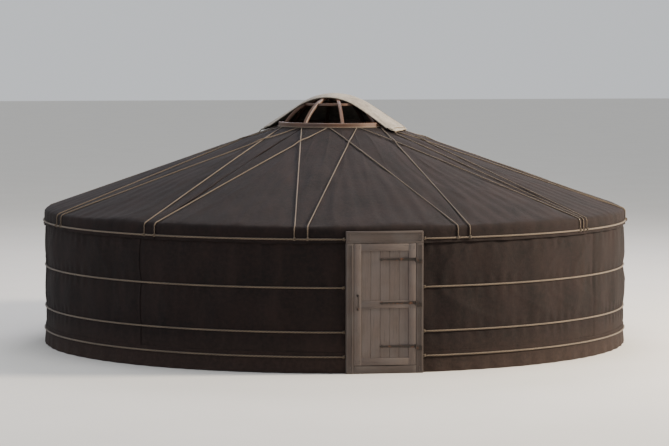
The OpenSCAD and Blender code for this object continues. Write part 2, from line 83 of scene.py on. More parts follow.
# Roof
POLE_SEAT, ROOF_FELT = 0.0183, 0.040
RIM_R, RIM_IN, CROWN_Z, RIM_LOW, RIM_TOP = 0.930, 0.850, 3.480, 3.410, 3.620
FORK_Z = LATTICE_TOP - FORK_H + LATH_W / 2 / sin(LATH_LEAN)
POLE_FOOT_Z = FORK_Z + POLE_SEAT / sin(LATH_LEAN)
SLOPE = atan((CROWN_Z - POLE_FOOT_Z) / (LATTICE_OUT - RIM_R))
TIP_Z = POLE_FOOT_Z + POLE_SEAT / cos(SLOPE) - 0.002
CROWN_RISE = 0.470
WHEEL_R = (RIM_IN ** 2 + CROWN_RISE ** 2) / (2 * CROWN_RISE)
WHEEL_C = RIM_TOP - 0.025 + CROWN_RISE - WHEEL_R

# Covers, belts and ropes
FELT_IN, FELT_OUT, BAND_OUT = 4.7243, 4.7743, 4.7883
VALANCE_OUT, VALANCE_Z = 4.8006, 1.960
BELT_R = 0.013
BELT_FOOT_Z, BELT_LOW_Z, BELT_MID_Z, BELT_TOP_Z = 0.250, 0.620, 1.290, 2.020
ROPE_R, ROPE_LIFT, ROPE_PAIRS = 0.009, 0.0102, 12
OPEN_BEARING, COVER_EDGE = -30, 0.3137

# Floor, door frame and leaf
FLOOR_R, FLOOR_TOP, BEARER_TOP, BOARD_W = 4.688, 0.060, 0.028, 0.145
DOOR_HALF, SILL_TOP, DOOR_TOP, HEAD_TOP = 0.475, 0.120, 1.960, 2.1408
FRONT, BACK = -4.8406, -4.640
BEAD_W, CHANNEL_D = 0.024, 0.007
LEAF_HALF, LEAF_LOW, LEAF_TOP, LEAF_T = 0.470, 0.125, 1.955, 0.045
LEAF_MID = (LEAF_LOW + LEAF_TOP) / 2
STILE_W, PANEL_SINK = 0.110, 0.012
RAIL_IN = LEAF_HALF - STILE_W


def at(bearing, radius, z):
    """The point at a bearing and radius."""
    turn = radians(bearing)
    return Vector((radius * sin(turn), -radius * cos(turn), z))


def faced(bearing, *spot):
    """The matrix that moves a piece to a spot on the door's side, and then turns it to a bearing."""
    return Matrix.Rotation(radians(bearing), 4, "Z") @ Matrix.Translation(spot or (0, 0, 0))


def axis_z(radius):
    """Height of the poles' axes."""
    return POLE_FOOT_Z + (LATTICE_OUT - radius) * tan(SLOPE)


def roof_z(radius):
    """Height of the roof felt's top."""
    return axis_z(radius) + (POLE_SEAT + ROOF_FELT) / cos(SLOPE)


def ease(low, high, value):
    """Rises smoothly from 0 to 1 between two values."""
    share = min(1.0, max(0.0, (value - low) / (high - low)))
    return share * share * (3 - 2 * share)


# Work on pieces

def placed():
    """The new primitive, with its place, turn and size put into its mesh."""
    bpy.ops.object.transform_apply(location=True, rotation=True, scale=True)
    return bpy.context.object


def choose(piece):
    """Makes a piece the active one and the only one selected."""
    bpy.ops.object.select_all(action="DESELECT")
    piece.select_set(True)
    bpy.context.view_layer.objects.active = piece


def modify(piece, kind, **settings):
    """Adds a modifier to a piece and applies it."""
    choose(piece)
    modifier = piece.modifiers.new("step", kind)
    for key, value in settings.items():
        setattr(modifier, key, value)
    bpy.ops.object.modifier_apply(modifier=modifier.name)
    return piece


def rub_round(piece, arris, segments=2, angle=30):
    """Rubs a piece's arrises round."""
    return modify(piece, "BEVEL", width=arris, segments=segments, limit_method="ANGLE",
                  angle_limit=radians(angle))


def edit(piece, kind="VERT", test=None):
    """Goes into edit mode with everything selected, or the faces or edges that pass a test."""
    choose(piece)
    bpy.ops.object.mode_set(mode="EDIT")
    bpy.ops.mesh.select_mode(type=kind)
    bpy.ops.mesh.select_all(action="DESELECT" if test else "SELECT")
    if test:
        shape = bmesh.from_edit_mesh(piece.data)
        for part in shape.faces if kind == "FACE" else shape.edges:
            part.select_set(bool(test(part)))
        bmesh.update_edit_mesh(piece.data)


def extrude(way):
    bpy.ops.mesh.extrude_region_move(TRANSFORM_OT_translate={"value": way})


def done(outwards=False):
    """Leaves edit mode, with all faces turned outwards first where that is asked."""
    if outwards:
        bpy.ops.mesh.select_all(action="SELECT")
        bpy.ops.mesh.normals_make_consistent(inside=False)
    bpy.ops.object.mode_set(mode="OBJECT")


def join(pieces):
    """Joins pieces into one."""
    choose(pieces[0])
    for piece in pieces:
        piece.select_set(True)
    if len(pieces) > 1:
        bpy.ops.object.join()
    return pieces[0]


def shift_uv(piece, across, up):
    """Moves a piece's pattern, so that no two boards or felts are alike."""
    shift = Vector((across, up))
    for corner in piece.data.uv_layers.active.data:
        corner.uv += shift


def copy_at(model, place, number=0):
    """A copy of a piece, with its own mesh, moved to its place."""
    copy = model.copy()
    copy.data = model.data.copy()
    copy.data.transform(place)
    shift_uv(copy, number * 0.37, number * 0.53)
    bpy.context.collection.objects.link(copy)
    return copy


def copies(model, places):
    """One piece made of a copy of the model at each place. The model itself is used up."""
    made = [copy_at(model, place, number) for number, place in enumerate(places)]
    bpy.data.objects.remove(model)
    return join(made)


def unwrap(piece, spot):
    """Unwraps a piece in metres. spot(face, point) gives the place of a face's corner on the pattern."""
    mesh = piece.data
    layer = mesh.uv_layers.active or mesh.uv_layers.new(name="UVMap")
    for face in mesh.polygons:
        for loop in face.loop_indices:
            layer.data[loop].uv = spot(face, mesh.vertices[mesh.loops[loop].vertex_index].co)
    return piece


def grain_uv(piece, along):
    """Unwraps a piece with its grain along u."""
    along = Vector(along).normalized()

    def spot(face, point):
        side = face.normal.cross(along)
        side = side.normalized() if side.length > 0.3 else along.orthogonal().normalized()
        return point.dot(along), point.dot(side)

    return unwrap(piece, spot)


def ring_uv(piece):
    """Unwraps a round piece with its grain round the upright axis."""
    def spot(face, point):
        turn = atan2(point.y, point.x)
        middle = atan2(face.center.y, face.center.x)
        turn += 2 * pi * round((middle - turn) / (2 * pi))
        return turn * RIM_R, point.z + hypot(point.x, point.y)

    return unwrap(piece, spot)


def block(low, high):
    """A squared block between two corners."""
    low, high = Vector(low), Vector(high)
    bpy.ops.mesh.primitive_cube_add(size=1, location=(low + high) / 2, scale=high - low)
    return placed()


def timber(low, high, along, arris=0.004, segments=2):
    """A squared timber between two corners, its arrises rubbed round."""
    return grain_uv(rub_round(block(low, high), arris, segments), along)


def outline(points):
    """A closed line through the points, drawn by extruding one point along it."""
    points = [Vector(point) for point in points]
    bpy.ops.mesh.primitive_plane_add(size=0.001, location=points[0])
    piece = placed()
    edit(piece)
    bpy.ops.mesh.merge(type="CENTER")
    for start, end in zip(points, points[1:]):
        extrude(end - start)
    bpy.ops.mesh.select_all(action="SELECT")
    bpy.ops.mesh.edge_face_add()
    done()
    return piece


def sawn(points, thickness, along, arris):
    """A shape sawn from a board: a flat outline given its thickness."""
    piece = outline(points)
    edit(piece)
    extrude(thickness)
    done(outwards=True)
    return grain_uv(rub_round(piece, arris, angle=40), along)


def spun(points, centre, axis, angle, steps):
    """A shape spun from an outline about an axis, in degrees."""
    piece = outline(points)
    edit(piece)
    bpy.ops.mesh.delete(type="ONLY_FACE")
    bpy.ops.mesh.select_all(action="SELECT")
    bpy.ops.mesh.spin(steps=steps, angle=-radians(angle), center=centre, axis=axis)
    bpy.ops.mesh.select_all(action="SELECT")
    bpy.ops.mesh.remove_doubles(threshold=0.00005)
    bpy.ops.mesh.fill_holes(sides=0)
    done(outwards=True)
    return piece


def turned(points, steps, y=0):
    """A ring turned from its outline, given as radius and height, about an upright axis."""
    return spun([(radius, y, z) for radius, z in points], (0, y, 0), UP, 360, steps)


def cut(piece, tool, operation="DIFFERENCE"):
    """Cuts a piece with a tool, and takes the tool away."""
    modify(piece, "BOOLEAN", object=tool, operation=operation, solver="EXACT")
    bpy.data.objects.remove(tool)
    return piece


def cut_round_frame(piece, top):
    """Trims a piece to the sides of the door frame."""
    side = FRAME_SIDE + 0.001
    return cut(piece, block((-side, -5.2, -0.1), (side, 0.001 + BACK, top)))


def tube(routes, radius, sides=8):
    """Ropes along routes, as one mesh. The UV runs once round a rope, and along it in metres."""
    points, faces, flats = [], [], []
    for route in routes:
        base, last = len(points), len(route) - 1
        far, side = [0.0], None
        for i, spot in enumerate(route):
            before, after = route[max(i - 1, 0)], route[min(i + 1, last)]
            far.append(far[-1] + (after - spot).length)
            way = (after - before).normalized()
            side = (way.orthogonal() if side is None else side - way * side.dot(way)).normalized()
            up = way.cross(side)
            # The ends are drawn in a little
            wide = radius * (0.72 if i in (0, last) else 1.0)
            points += [spot + wide * (side * cos(turn) + up * sin(turn))
                       for turn in (2 * pi * k / sides for k in range(sides))]
        for i in range(last):
            for k in range(sides):
                a, b = base + i * sides + k, base + i * sides + (k + 1) % sides
                faces.append((a, b, b + sides, a + sides))
                flats += [((k + on) / sides, far[i + up]) for on, up in ((0, 0), (1, 0), (1, 1), (0, 1))]
        for ring, order in ((0, range(sides - 1, -1, -1)), (last, range(sides))):
            faces.append(tuple(base + ring * sides + k for k in order))
            flats += [(k / sides, far[ring]) for k in order]
    mesh = bpy.data.meshes.new("tube")
    mesh.from_pydata(points, [], faces)
    layer = mesh.uv_layers.new(name="UVMap")
    for corner, flat in zip(layer.data, flats):
        corner.uv = flat
    piece = bpy.data.objects.new("tube", mesh)
    bpy.context.collection.objects.link(piece)
    return piece


def clad(piece, material):
    """Gives a piece its material, in place of any other."""
    piece.data.materials.clear()
    piece.data.materials.append(material)


def fit(piece, name, material, slot, *nodes, body="yurt", smooth=38):
    """Names a finished piece, gives it its material and the body it rides on, and hides the nodes
    it stands for. The slot is not used."""
    piece.name = piece.data.name = name
    if material:
        clad(piece, material)
    choose(piece)
    bpy.ops.object.shade_smooth_by_angle(angle=radians(smooth))
    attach(piece, body)
    if nodes:
        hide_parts(*nodes)
    return piece


# Materials

def linear(code):
    """An sRGB hex colour as linear red, green, blue and alpha."""
    parts = [int(code[i:i + 2], 16) / 255 for i in (1, 3, 5)]
    return [c / 12.92 if c <= 0.04045 else ((c + 0.055) / 1.055) ** 2.4 for c in parts] + [1.0]


class Look:
    """A material that is built up node by node. Each step gives the new node's output."""

    def __init__(self, name):
        self.material = bpy.data.materials.new(name)
        self.material.use_nodes = True
        self.nodes, self.links = self.material.node_tree.nodes, self.material.node_tree.links

    def add(self, kind, inputs, out=None, **settings):
        """Adds a node, or takes the shader, with its settings, values, colours and links."""
        node = self.nodes["Principled BSDF"] if kind == "Shader" else self.nodes.new("ShaderNode" + kind)
        for key, value in settings.items():
            setattr(node, key, value)
        for key, value in inputs.items():
            if isinstance(value, bpy.types.NodeSocket):
                self.links.new(value, node.inputs[key])
            else:
                node.inputs[key].default_value = linear(value) if isinstance(value, str) else value
        return node.outputs[out] if out else next(each for each in node.outputs if each.enabled)

    def flat(self):
        return self.add("UVMap", {}, uv_map="UVMap")

    def place(self):
        return self.add("TexCoord", {}, "Object")

    def axes(self, vector):
        return [self.add("SeparateXYZ", {"Vector": vector}, axis) for axis in "XYZ"]

    def maths(self, operation, *values):
        return self.add("Math", dict(enumerate(values)), operation=operation)

    def noise(self, vector, scale, detail=2.0, **inputs):
        return self.add("TexNoise", {"Vector": vector, "Scale": scale, "Detail": detail, **inputs})

    def streaks(self, vector, across, up, detail, distortion=0.0):
        """Noise that is drawn out one way."""
        drawn = self.add("Mapping", {"Vector": vector, "Scale": (across, up, 1.0)})
        return self.noise(drawn, 1.0, detail, Distortion=distortion)

    def ramp(self, value, low, high, first=0.0, last=1.0):
        """Maps a value between low and high to one between first and last."""
        return self.add("MapRange", dict(enumerate((value, low, high, first, last))))

    def coats(self, colour, *coats):
        """Lays colours over the first one, each by its own share."""
        for share, tone in coats:
            colour = self.add("Mix", {0: share, 6: colour, 7: tone}, data_type="RGBA")
        return colour

    def finish(self, colour, roughness, relief=None, depth=0.0, strength=0.0, **inputs):
        """Sets the shader, with its relief as a bump. An underscore stands for a space."""
        inputs = {key.replace("_", " "): value for key, value in inputs.items()}
        if relief:
            inputs["Normal"] = self.add("Bump", {"Height": relief, "Distance": depth, "Strength": strength})
        self.add("Shader", {"Base Color": colour, "Roughness": roughness, **inputs})
        return self.material


def wool_felt(name, shade, body, light, worn, dust):
    """Wool felt, wetted and rolled by hand. It gives the eye a matt, uneven cloth: wide darker and
    paler patches, matted fibres, rain streaks, dust near the ground and a stitched edge."""
    look = Look(name)
    flat = look.flat()
    # Patches about 0.7 m wide, from wool of different sheep
    patch = look.noise(flat, 1.4, 4.0, Roughness=0.6)
    # Clumps of fibre about 60 mm wide
    clump = look.noise(flat, 16.0, 6.0, Roughness=0.65)
    # Matted fibres, drawn about 8 mm apart where the real ones are finer
    fibre = look.noise(flat, 120.0, 5.0, Roughness=0.65, Distortion=1.2)
    # Soft streaks where rain runs down, about 0.25 m apart
    streak = look.streaks(flat, 4.0, 1.1, 5.0, 0.4)
    dusty = look.ramp(look.axes(look.place())[2], 0.0, 0.55, 0.75, 0.0)
    # A row of stitches 30 mm in from the edge, one every 30 mm
    line = look.maths("COMPARE", look.add("Attribute", {}, "Fac", attribute_name="edge"), 0.030, 0.0035)
    u, v, _ = look.axes(flat)
    beat = look.maths("SINE", look.maths("MULTIPLY", look.maths("ADD", u, v), 209.0))
    stitch = look.maths("MULTIPLY", line, look.maths("GREATER_THAN", beat, -0.2))
    colour = look.coats(
        shade, (look.ramp(patch, 0.36, 0.64), body), (look.ramp(clump, 0.42, 0.78, 0.0, 0.6), light),
        (look.ramp(streak, 0.46, 0.76, 0.0, 0.32), worn), (look.ramp(fibre, 0.55, 0.75, 0.0, 0.5), light),
        (look.maths("MULTIPLY", dusty, clump), dust), (stitch, light))
    relief = look.maths("MULTIPLY_ADD", stitch, -0.5, look.maths("MULTIPLY_ADD", fibre, 0.6, clump))
    return look.finish(colour, 0.93, relief, 0.006, 0.75, IOR=1.45, Specular_IOR_Level=0.3,
                       Sheen_Weight=0.06, Sheen_Roughness=0.5, Sheen_Tint=light)


def hair_rope(name, dark, pale, strands, lay):
    """Horsehair rope, twisted from dark and pale strands. It gives the eye slanting stripes and a
    hairy, matt surface. The stripes are one lay long, in metres."""
    look = Look(name)
    flat = look.flat()
    u, v, _ = look.axes(flat)
    twist = look.maths("MULTIPLY_ADD", u, float(strands), look.maths("MULTIPLY", v, 1 / lay))
    strand = look.maths("ABSOLUTE", look.maths("SINE", look.maths("MULTIPLY", twist, pi)))
    mixed = look.maths("MULTIPLY_ADD", strand, 0.5, look.streaks(flat, 14.0, 260.0, 3.0))
    faded = look.maths("MULTIPLY", look.ramp(mixed, 0.55, 1.05), look.noise(flat, 2.2, 3.0))
    return look.finish(look.coats(dark, (faded, pale)), 0.88, mixed, 0.003, 0.8, IOR=1.5, Sheen_Weight=0.15)


def grained_wood(name, dark, body, pale, bare, roughness, radial=False):
    """Wood that was split or sawn and shaved by hand. It gives the eye drawn-out grain, fine pores,
    drying cracks, and a greyer or darker skin where hands, smoke or weather reached it."""
    look = Look(name)
    if radial:
        # On the roof poles the grain runs up each pole, away from the wall
        x, y, z = look.axes(look.place())
        across = look.maths("MULTIPLY", look.maths("ARCTAN2", y, x), 2.6)
        flat = look.add("CombineXYZ", {"X": z, "Y": across})
    else:
        flat = look.flat()
    # Growth rings cut lengthwise, about 14 mm apart and drawn out twenty times
    rings = look.streaks(flat, 2.6, 52.0, 5.0, 0.9)
    # Pores and tool marks, about 3 mm apart
    pores = look.streaks(flat, 14.0, 300.0, 3.0)
    # Drying cracks, up to 0.5 m long
    crack = look.ramp(look.streaks(flat, 1.6, 85.0, 2.0), 0.69, 0.73)
    worn = look.ramp(look.noise(flat, 2.8, 5.0), 0.40, 0.68, 0.0, 0.7)
    colour = look.coats(dark, (look.ramp(rings, 0.34, 0.66), body), (pores, pale), (worn, bare),
                        (crack, "#17110d"))
    relief = look.maths("MULTIPLY_ADD", crack, -1.2, look.maths("MULTIPLY_ADD", rings, 0.6, pores))
    return look.finish(colour, roughness, relief, 0.0015, 0.6, IOR=1.5)


def wrought_iron(name):
    """Wrought iron, forged and left bare. It gives the eye a dull black-brown metal with hammer
    marks about 20 mm wide and rust where rain stands."""
    look = Look(name)
    place = look.place()
    marks = look.add("TexVoronoi", {"Vector": place, "Scale": 50.0}, feature="SMOOTH_F1")
    rusty = look.ramp(look.noise(place, 22.0, 5.0), 0.53, 0.70)
    relief = look.maths("MULTIPLY_ADD", marks, 1.5, look.noise(place, 260.0, 3.0))
    return look.finish(look.coats("#3a3532", (rusty, "#5c3a26")), look.ramp(rusty, 0.0, 1.0, 0.48, 0.85),
                       relief, 0.001, 0.5, Metallic=look.ramp(rusty, 0.0, 1.0, 0.9, 0.15))


def rawhide(name):
    """Rawhide thong, knotted wet and dried hard. It gives the eye a small tan, waxy bead."""
    look = Look(name)
    stain = look.noise(look.place(), 90.0, 3.0)
    return look.finish(look.coats("#5b412b", (stain, "#a4835c")), 0.5, stain, 0.001, 0.4, IOR=1.5)


def pale_board(name):
    """Painted board, for the studio floor. It gives the eye an even, matt, pale ground."""
    look = Look(name)
    return look.finish(look.coats("#cfccc6", (look.noise(look.place(), 0.6), "#d6d3ce")), 0.9)


DARK_FELT = wool_felt("dark_wool_felt", "#0d0807", "#170e0c", "#261916", "#2b1e1a", "#40322b")
LINING_FELT = wool_felt("lining_wool_felt", "#33271f", "#4a3a2f", "#62503f", "#574637", "#6b5a48")
PALE_FELT = wool_felt("undyed_wool_felt", "#6f675e", "#979085", "#b2aa9d", "#7b7268", "#857869")
ROPE = hair_rope("twisted_horsehair_rope", "#2b211a", "#8d795f", 3, 0.060)
PALE_ROPE = hair_rope("twisted_camel_wool_cord", "#5a4a39", "#b9a687", 3, 0.050)
WILLOW = grained_wood("shaved_willow_laths", "#5f4129", "#8d6846", "#a98359", "#6b4b31", 0.62)
POLE_WOOD = grained_wood("shaved_pine_poles", "#583a24", "#83593a", "#9c7149", "#5f4029", 0.60, True)
CROWN_WOOD = grained_wood("oiled_birch", "#2d1d15", "#4f3526", "#6b4b37", "#3b281d", 0.50)
FRAME_WOOD = grained_wood("weathered_larch", "#211a16", "#3a2f29", "#51453e", "#4c4541", 0.80)
LEAF_WOOD = grained_wood("weathered_pine", "#2c2320", "#493c37", "#60534b", "#58504c", 0.78)
PLANKS = grained_wood("scrubbed_pine_planks", "#5e4730", "#8a6d4c", "#a68a66", "#6a5843", 0.7)
IRON = wrought_iron("wrought_iron")
THONG = rawhide("rawhide_thong")

# Camera, lights and floor
TARGET = Vector((0.0, 0.0, 1.93))


def from_side(bearing, rise, away):
    """A point away from the target, seen from a bearing and a height in degrees."""
    up = radians(rise)
    return TARGET + away * at(bearing, cos(up), sin(up))


def aimed(thing):
    """A camera or lamp, turned to the target."""
    thing.rotation_euler = (TARGET - thing.location).to_track_quat("-Z", "Y").to_euler()
    return thing


bpy.ops.object.camera_add(location=from_side(-9, 4, 47))
camera = aimed(bpy.context.object)
camera.data.lens = 152
camera.data.clip_end = 400
bpy.context.scene.camera = camera

# Name, bearing and height in degrees, distance, size, power and colour
LIGHTS = (("key", 72, 24, 24, 4.0, 15000, "#fff0da"), ("fill", -58, 22, 26, 12.0, 1400, "#e6eeff"),
          ("back", 165, 42, 24, 9.0, 3200, "#f4f2ff"), ("top", 0, 85, 20, 10.0, 1400, "#ffffff"))
for name, bearing, rise, away, size, power, tint in LIGHTS:
    bpy.ops.object.light_add(type="AREA", location=from_side(bearing, rise, away))
    lamp = aimed(bpy.context.object)
    lamp.name = "light_" + name
    lamp.data.size = size
    lamp.data.energy = power
    lamp.data.color = linear(tint)[:3]

world = bpy.data.worlds.new("studio")
world.use_nodes = True
sky = world.node_tree.nodes["Background"].inputs
sky["Color"].default_value = linear("#dfe2e6")
sky["Strength"].default_value = 0.95
bpy.context.scene.world = world

bpy.ops.mesh.primitive_plane_add(size=300)
floor = bpy.context.object
floor.name = "studio_floor"
floor.data.materials.append(pale_board("pale_board"))
floor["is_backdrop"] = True


# Lattice wall

def lattice_lath():
    """A full-length lath on end, with its middle at the origin, cut into short stretches to bend."""
    long = (TIP_Z - 0.024) / cos(LATH_LEAN)
    half = Vector((LATH_W / 2, LATH_HALF_T, long / 2))
    lath = timber(-half, half, UP, 0.0035)
    edit(lath, "EDGE", lambda edge: edge.calc_length() > long / 2)
    bpy.ops.mesh.subdivide(number_cuts=13)
    done()
    lath.data.materials.append(WILLOW)
    return lath, long


def lattice_knot():
    """A thong's knot: a flat bead on the room side of a crossing."""
    bpy.ops.mesh.primitive_uv_sphere_add(segments=8, ring_count=4, radius=0.009,
                                         rotation=(pi / 2, 0, 0), scale=(1, 1, 0.55))
    knot = placed()
    edit(knot)
    bpy.ops.mesh.bisect(plane_co=(0, -0.001, 0), plane_no=(0, 1, 0), clear_inner=True, use_fill=True)
    done()
    knot.data.materials.append(THONG)
    return grain_uv(knot, UP)


def lattice_section():
    """One section of the wall, laid out flat and then bent: two layers of laths, tied at each crossing."""
    lath, long = lattice_lath()
    wide, climb = HEADS * CELL_W, CELL_H / CELL_W
    places, spots = [], []
    for way in (1, -1):
        for start in range(-ROWS // 2, HEADS):
            # A lath climbs one cell's height in one cell's width
            foot_x = (start + 0.5 - FORK_H / CELL_H) * CELL_W
            low = max(0.012, 0.018 - foot_x * climb)
            high = min(TIP_Z - 0.012, (wide - foot_x) * climb - 0.018)
            middle = (low + high) / 2
            x = foot_x + middle / climb
            places.append(Matrix.Translation((x if way > 0 else wide - x, -0.0058 * way, middle))
                          @ Matrix.Rotation(way * LATH_LEAN, 4, "Y")
                          @ Matrix.Scale((high - low) / cos(LATH_LEAN) / long, 4, UP))
    for row in range(ROWS + 1):
        for column in range(HEADS + row % 2):
            x = (column + 0.5 * (1 - row % 2)) * CELL_W
            x = min(wide - 0.012, max(0.012, x))
            spots.append(Matrix.Translation((x, 0.0116, FORK_H + row * CELL_H / 2)))
    section = join([copies(lath, places), copies(lattice_knot(), spots)])
    xs = [vertex.co.x for vertex in section.data.vertices]
    modify(section, "SIMPLE_DEFORM", deform_method="BEND", deform_axis="Z",
           angle=(max(xs) - min(xs)) / LATTICE_MID)
    section.data.transform(Matrix.Translation((0, -LATTICE_MID, 0)))
    return section


section = lattice_section()
for number in range(SECTIONS):
    laths = copy_at(section, faced(LATTICE_START + number * SECTION_SPAN), number)
    fit(laths, f"lattice_laths_{number + 1}", None, "lattice_wood", f"lattice_{number + 1}")
bpy.data.objects.remove(section)


def cord_turns(wide, cord, squeeze, turns):
    """Turns of cord wound round something, side by side, and drawn to an oval."""
    route = []
    for k in range(12 * turns + 1):
        turn = pi * k / 6
        route.append(Vector((wide * cos(turn), wide * squeeze * sin(turn),
                             (k / 12 - turns / 2) * 2.1 * cord)))
    return tube([route], cord, 5)


# Cord wound round the laths' ends where two sections meet
lashings = [faced(LATTICE_START + number * SECTION_SPAN, 0, -LATTICE_MID, FORK_H + row * CELL_H / 2)
            for number in range(1, SECTIONS) for row in range(1, ROWS, 2)]
fit(copies(cord_turns(0.024, 0.0035, 0.55, 3), lashings), "section_lashings", PALE_ROPE, "hair_rope")

# A loop of cord through each pole's foot and round the head of the lattice
ties = [faced(LATTICE_START + (i + 0.5) * HEAD_PITCH, 0, 0.004 - LATTICE_IN, axis_z(LATTICE_IN) - 0.006)
        @ Matrix.Rotation(pi / 2 - SLOPE, 4, "X") for i in range(SECTIONS * HEADS)]
fit(copies(cord_turns(0.0205, 0.0032, 1.0, 2), ties), "pole_ties", PALE_ROPE, "hair_rope")


# Crown and columns

def crown_rim():
    """The crown's rim, turned from steamed birch, with a groove near each edge of its faces."""
    low, top, arris = RIM_LOW, RIM_TOP, 0.007
    points = [(RIM_IN + arris, low), (RIM_R - arris, low), (RIM_R, low + arris), (RIM_R, top - 0.040),
              (RIM_R - 0.004, top - 0.036), (RIM_R, top - 0.032), (RIM_R, top - arris),
              (RIM_R - arris, top), (RIM_IN + arris, top), (RIM_IN, top - arris)]
    for level in (top - 0.034, low + 0.034):
        points += [(RIM_IN, level + 0.005), (RIM_IN + 0.005, level), (RIM_IN, level - 0.005)]
    return ring_uv(turned(points + [(RIM_IN, low + arris)], 96))


def wheel_z(radius):
    """Height of the dome on which the spokes' tops lie."""
    return WHEEL_C + sqrt(WHEEL_R ** 2 - radius ** 2)


def crown_spoke():
    """A bent spoke, from the hub to the rim along the crown's dome."""
    first, last = asin(0.112 / WHEEL_R), asin((RIM_IN + 0.006) / WHEEL_R)
    low, half = WHEEL_R - 0.0475, 0.0278
    corners = [(radius * sin(first), side, WHEEL_C + radius * cos(first))
               for radius, side in ((low, -half), (WHEEL_R, -half), (WHEEL_R, half), (low, half))]
    spoke = spun(corners, (0, 0, WHEEL_C), (0, 1, 0), degrees(last - first), 18)
    return grain_uv(rub_round(spoke, 0.006, angle=40), (1, 0, -0.6))


def crown_wheel():
    """Eight spokes, and the hoop that ties them together halfway up."""
    spokes = copies(crown_spoke(), [faced(45 * k) for k in range(8)])
    low, high = wheel_z(0.498) - 0.0432, wheel_z(0.498) - 0.0024
    hoop = turned([(0.447, low), (0.493, low), (0.498, low + 0.005), (0.498, high - 0.005),
                   (0.493, high), (0.447, high), (0.442, high - 0.005), (0.442, low + 0.005)], 72)
    return join([spokes, ring_uv(hoop)])


def crown_hub():
    """The hub: a turned boss with a bead round it and a shallow dish below."""
    top = wheel_z(0.120)
    low = top - 0.068
    return ring_uv(turned([
        (0.0, low + 0.010), (0.050, low + 0.008), (0.072, low), (0.106, low), (0.115, low + 0.008),
        (0.120, low + 0.018), (0.120, low + 0.028), (0.115, low + 0.034), (0.120, low + 0.040),
        (0.120, top - 0.010), (0.110, top), (0.0, top + 0.004)], 48))


def column_post():
    """The column at the door's bearing: foot block, eight-sided shaft with collars, and bracket."""
    y, foot, top = -(RIM_R + RIM_IN) / 2, FLOOR_TOP + SEAT, RIM_LOW - SEAT
    parts = [timber((-0.095, y - 0.095, foot), (0.095, y + 0.095, foot + 0.090), UP, 0.012, 3)]
    bpy.ops.mesh.primitive_cylinder_add(vertices=8, radius=0.055 / cos(pi / 8),
                                        depth=top - foot - 0.250, rotation=(0, 0, pi / 8),
                                        location=(0, y, (top + foot - 0.080) / 2))
    parts.append(grain_uv(rub_round(placed(), 0.004, angle=40), UP))
    for level in (foot + 0.090, foot + 1.30, top - 0.205):
        collar = [(0.050, level), (0.064, level), (0.069, level + 0.008), (0.069, level + 0.018),
                  (0.064, level + 0.026), (0.050, level + 0.026)]
        parts.append(grain_uv(turned(collar, 32, y), UP))
    scoop, half, low = 0.170 * 0.72, 0.240, top - 0.170
    curve = [(half - scoop * sin(k * pi / 16), low + scoop * cos(k * pi / 16))
             for k in range(9)]
    points = [(-half, top), (half, top)] + curve + [(-x, z) for x, z in reversed(curve)]
    parts.append(sawn([(x, y - 0.045, z) for x, z in points], (0, 0.090, 0), ACROSS, 0.004))
    return join(parts)


fit(crown_rim(), "crown_rim_ring", CROWN_WOOD, "crown_wood", "crown_rim")
fit(crown_wheel(), "crown_spokes", CROWN_WOOD, "crown_wood", "crown_wheel")
fit(crown_hub(), "crown_hub_boss", CROWN_WOOD, "crown_wood", "crown_hub")
CORNERS = ("front_right", "back_right", "back_left", "front_left")
post = column_post()
for number, corner in enumerate(CORNERS):
    fit(copy_at(post, faced(45 + 90 * number), number), "post_" + corner, CROWN_WOOD, "crown_wood",
        "column_" + corner)
bpy.data.objects.remove(post)


# Plank floor

def floor_boards(left, right, seed):
    """Boards that run from front to back on bearers, butted at random and trimmed to the round wall."""
    draw = random.Random(seed)
    count = round((right - left) / BOARD_W)
    step = (right - left) / count
    parts = []
    for index in range(count):
        x = left + index * step
        # Half the length that the round floor needs here
        reach = sqrt(max(0.01, 4.69 ** 2 - min(abs(x), abs(x + step)) ** 2)) + 0.02
        joints = sorted(draw.uniform(-0.8, 0.8) * reach for _ in range(1 if reach < 2.5 else 2))
        ends = [-reach] + joints + [reach]
        for near, far in zip(ends, ends[1:]):
            top = FLOOR_TOP - draw.uniform(0.0, 0.0015)
            parts.append(timber((x + 0.0008, near + 0.001, BEARER_TOP),
                                (x + step - 0.0008, far - 0.001, top), (0, 1, 0), 0.003, 1))
            shift_uv(parts[-1], draw.uniform(0, 9), draw.uniform(0, 9))
    for index in range(11):
        y = -4.2 + index * 0.84
        parts.append(timber((left, y - 0.045, 0.0), (right, y + 0.045, BEARER_TOP - 0.0001), ACROSS,
                            0.002, 1))
    boards = join(parts)
    bpy.ops.mesh.primitive_cylinder_add(vertices=192, radius=FLOOR_R, depth=1.0)
    return cut(boards, bpy.context.object, "INTERSECT")


for side, left, right, seed in (("left", -4.70, -1.6 - SEAT, 3), ("middle", -1.6, 1.6, 5),
                                ("right", 1.6 + SEAT, 4.70, 8)):
    boards = floor_boards(left, right, seed)
    if side == "middle":
        cut_round_frame(boards, 0.5)
    fit(boards, "floor_boards_" + side, PLANKS, "floor_wood", "floor_" + side, smooth=30)


# Door frame and leaf

def channelled(low, high, along):
    """A timber of the frame, with a channel sunk in its front that leaves a bead round it."""
    part = timber(low, high, along, 0.006)
    edit(part, "FACE", lambda face: face.normal.y < -0.9 and face.calc_area() > 0.1)
    bpy.ops.mesh.inset(thickness=BEAD_W)
    extrude((0, CHANNEL_D, 0))
    done(outwards=True)
    return grain_uv(part, along)


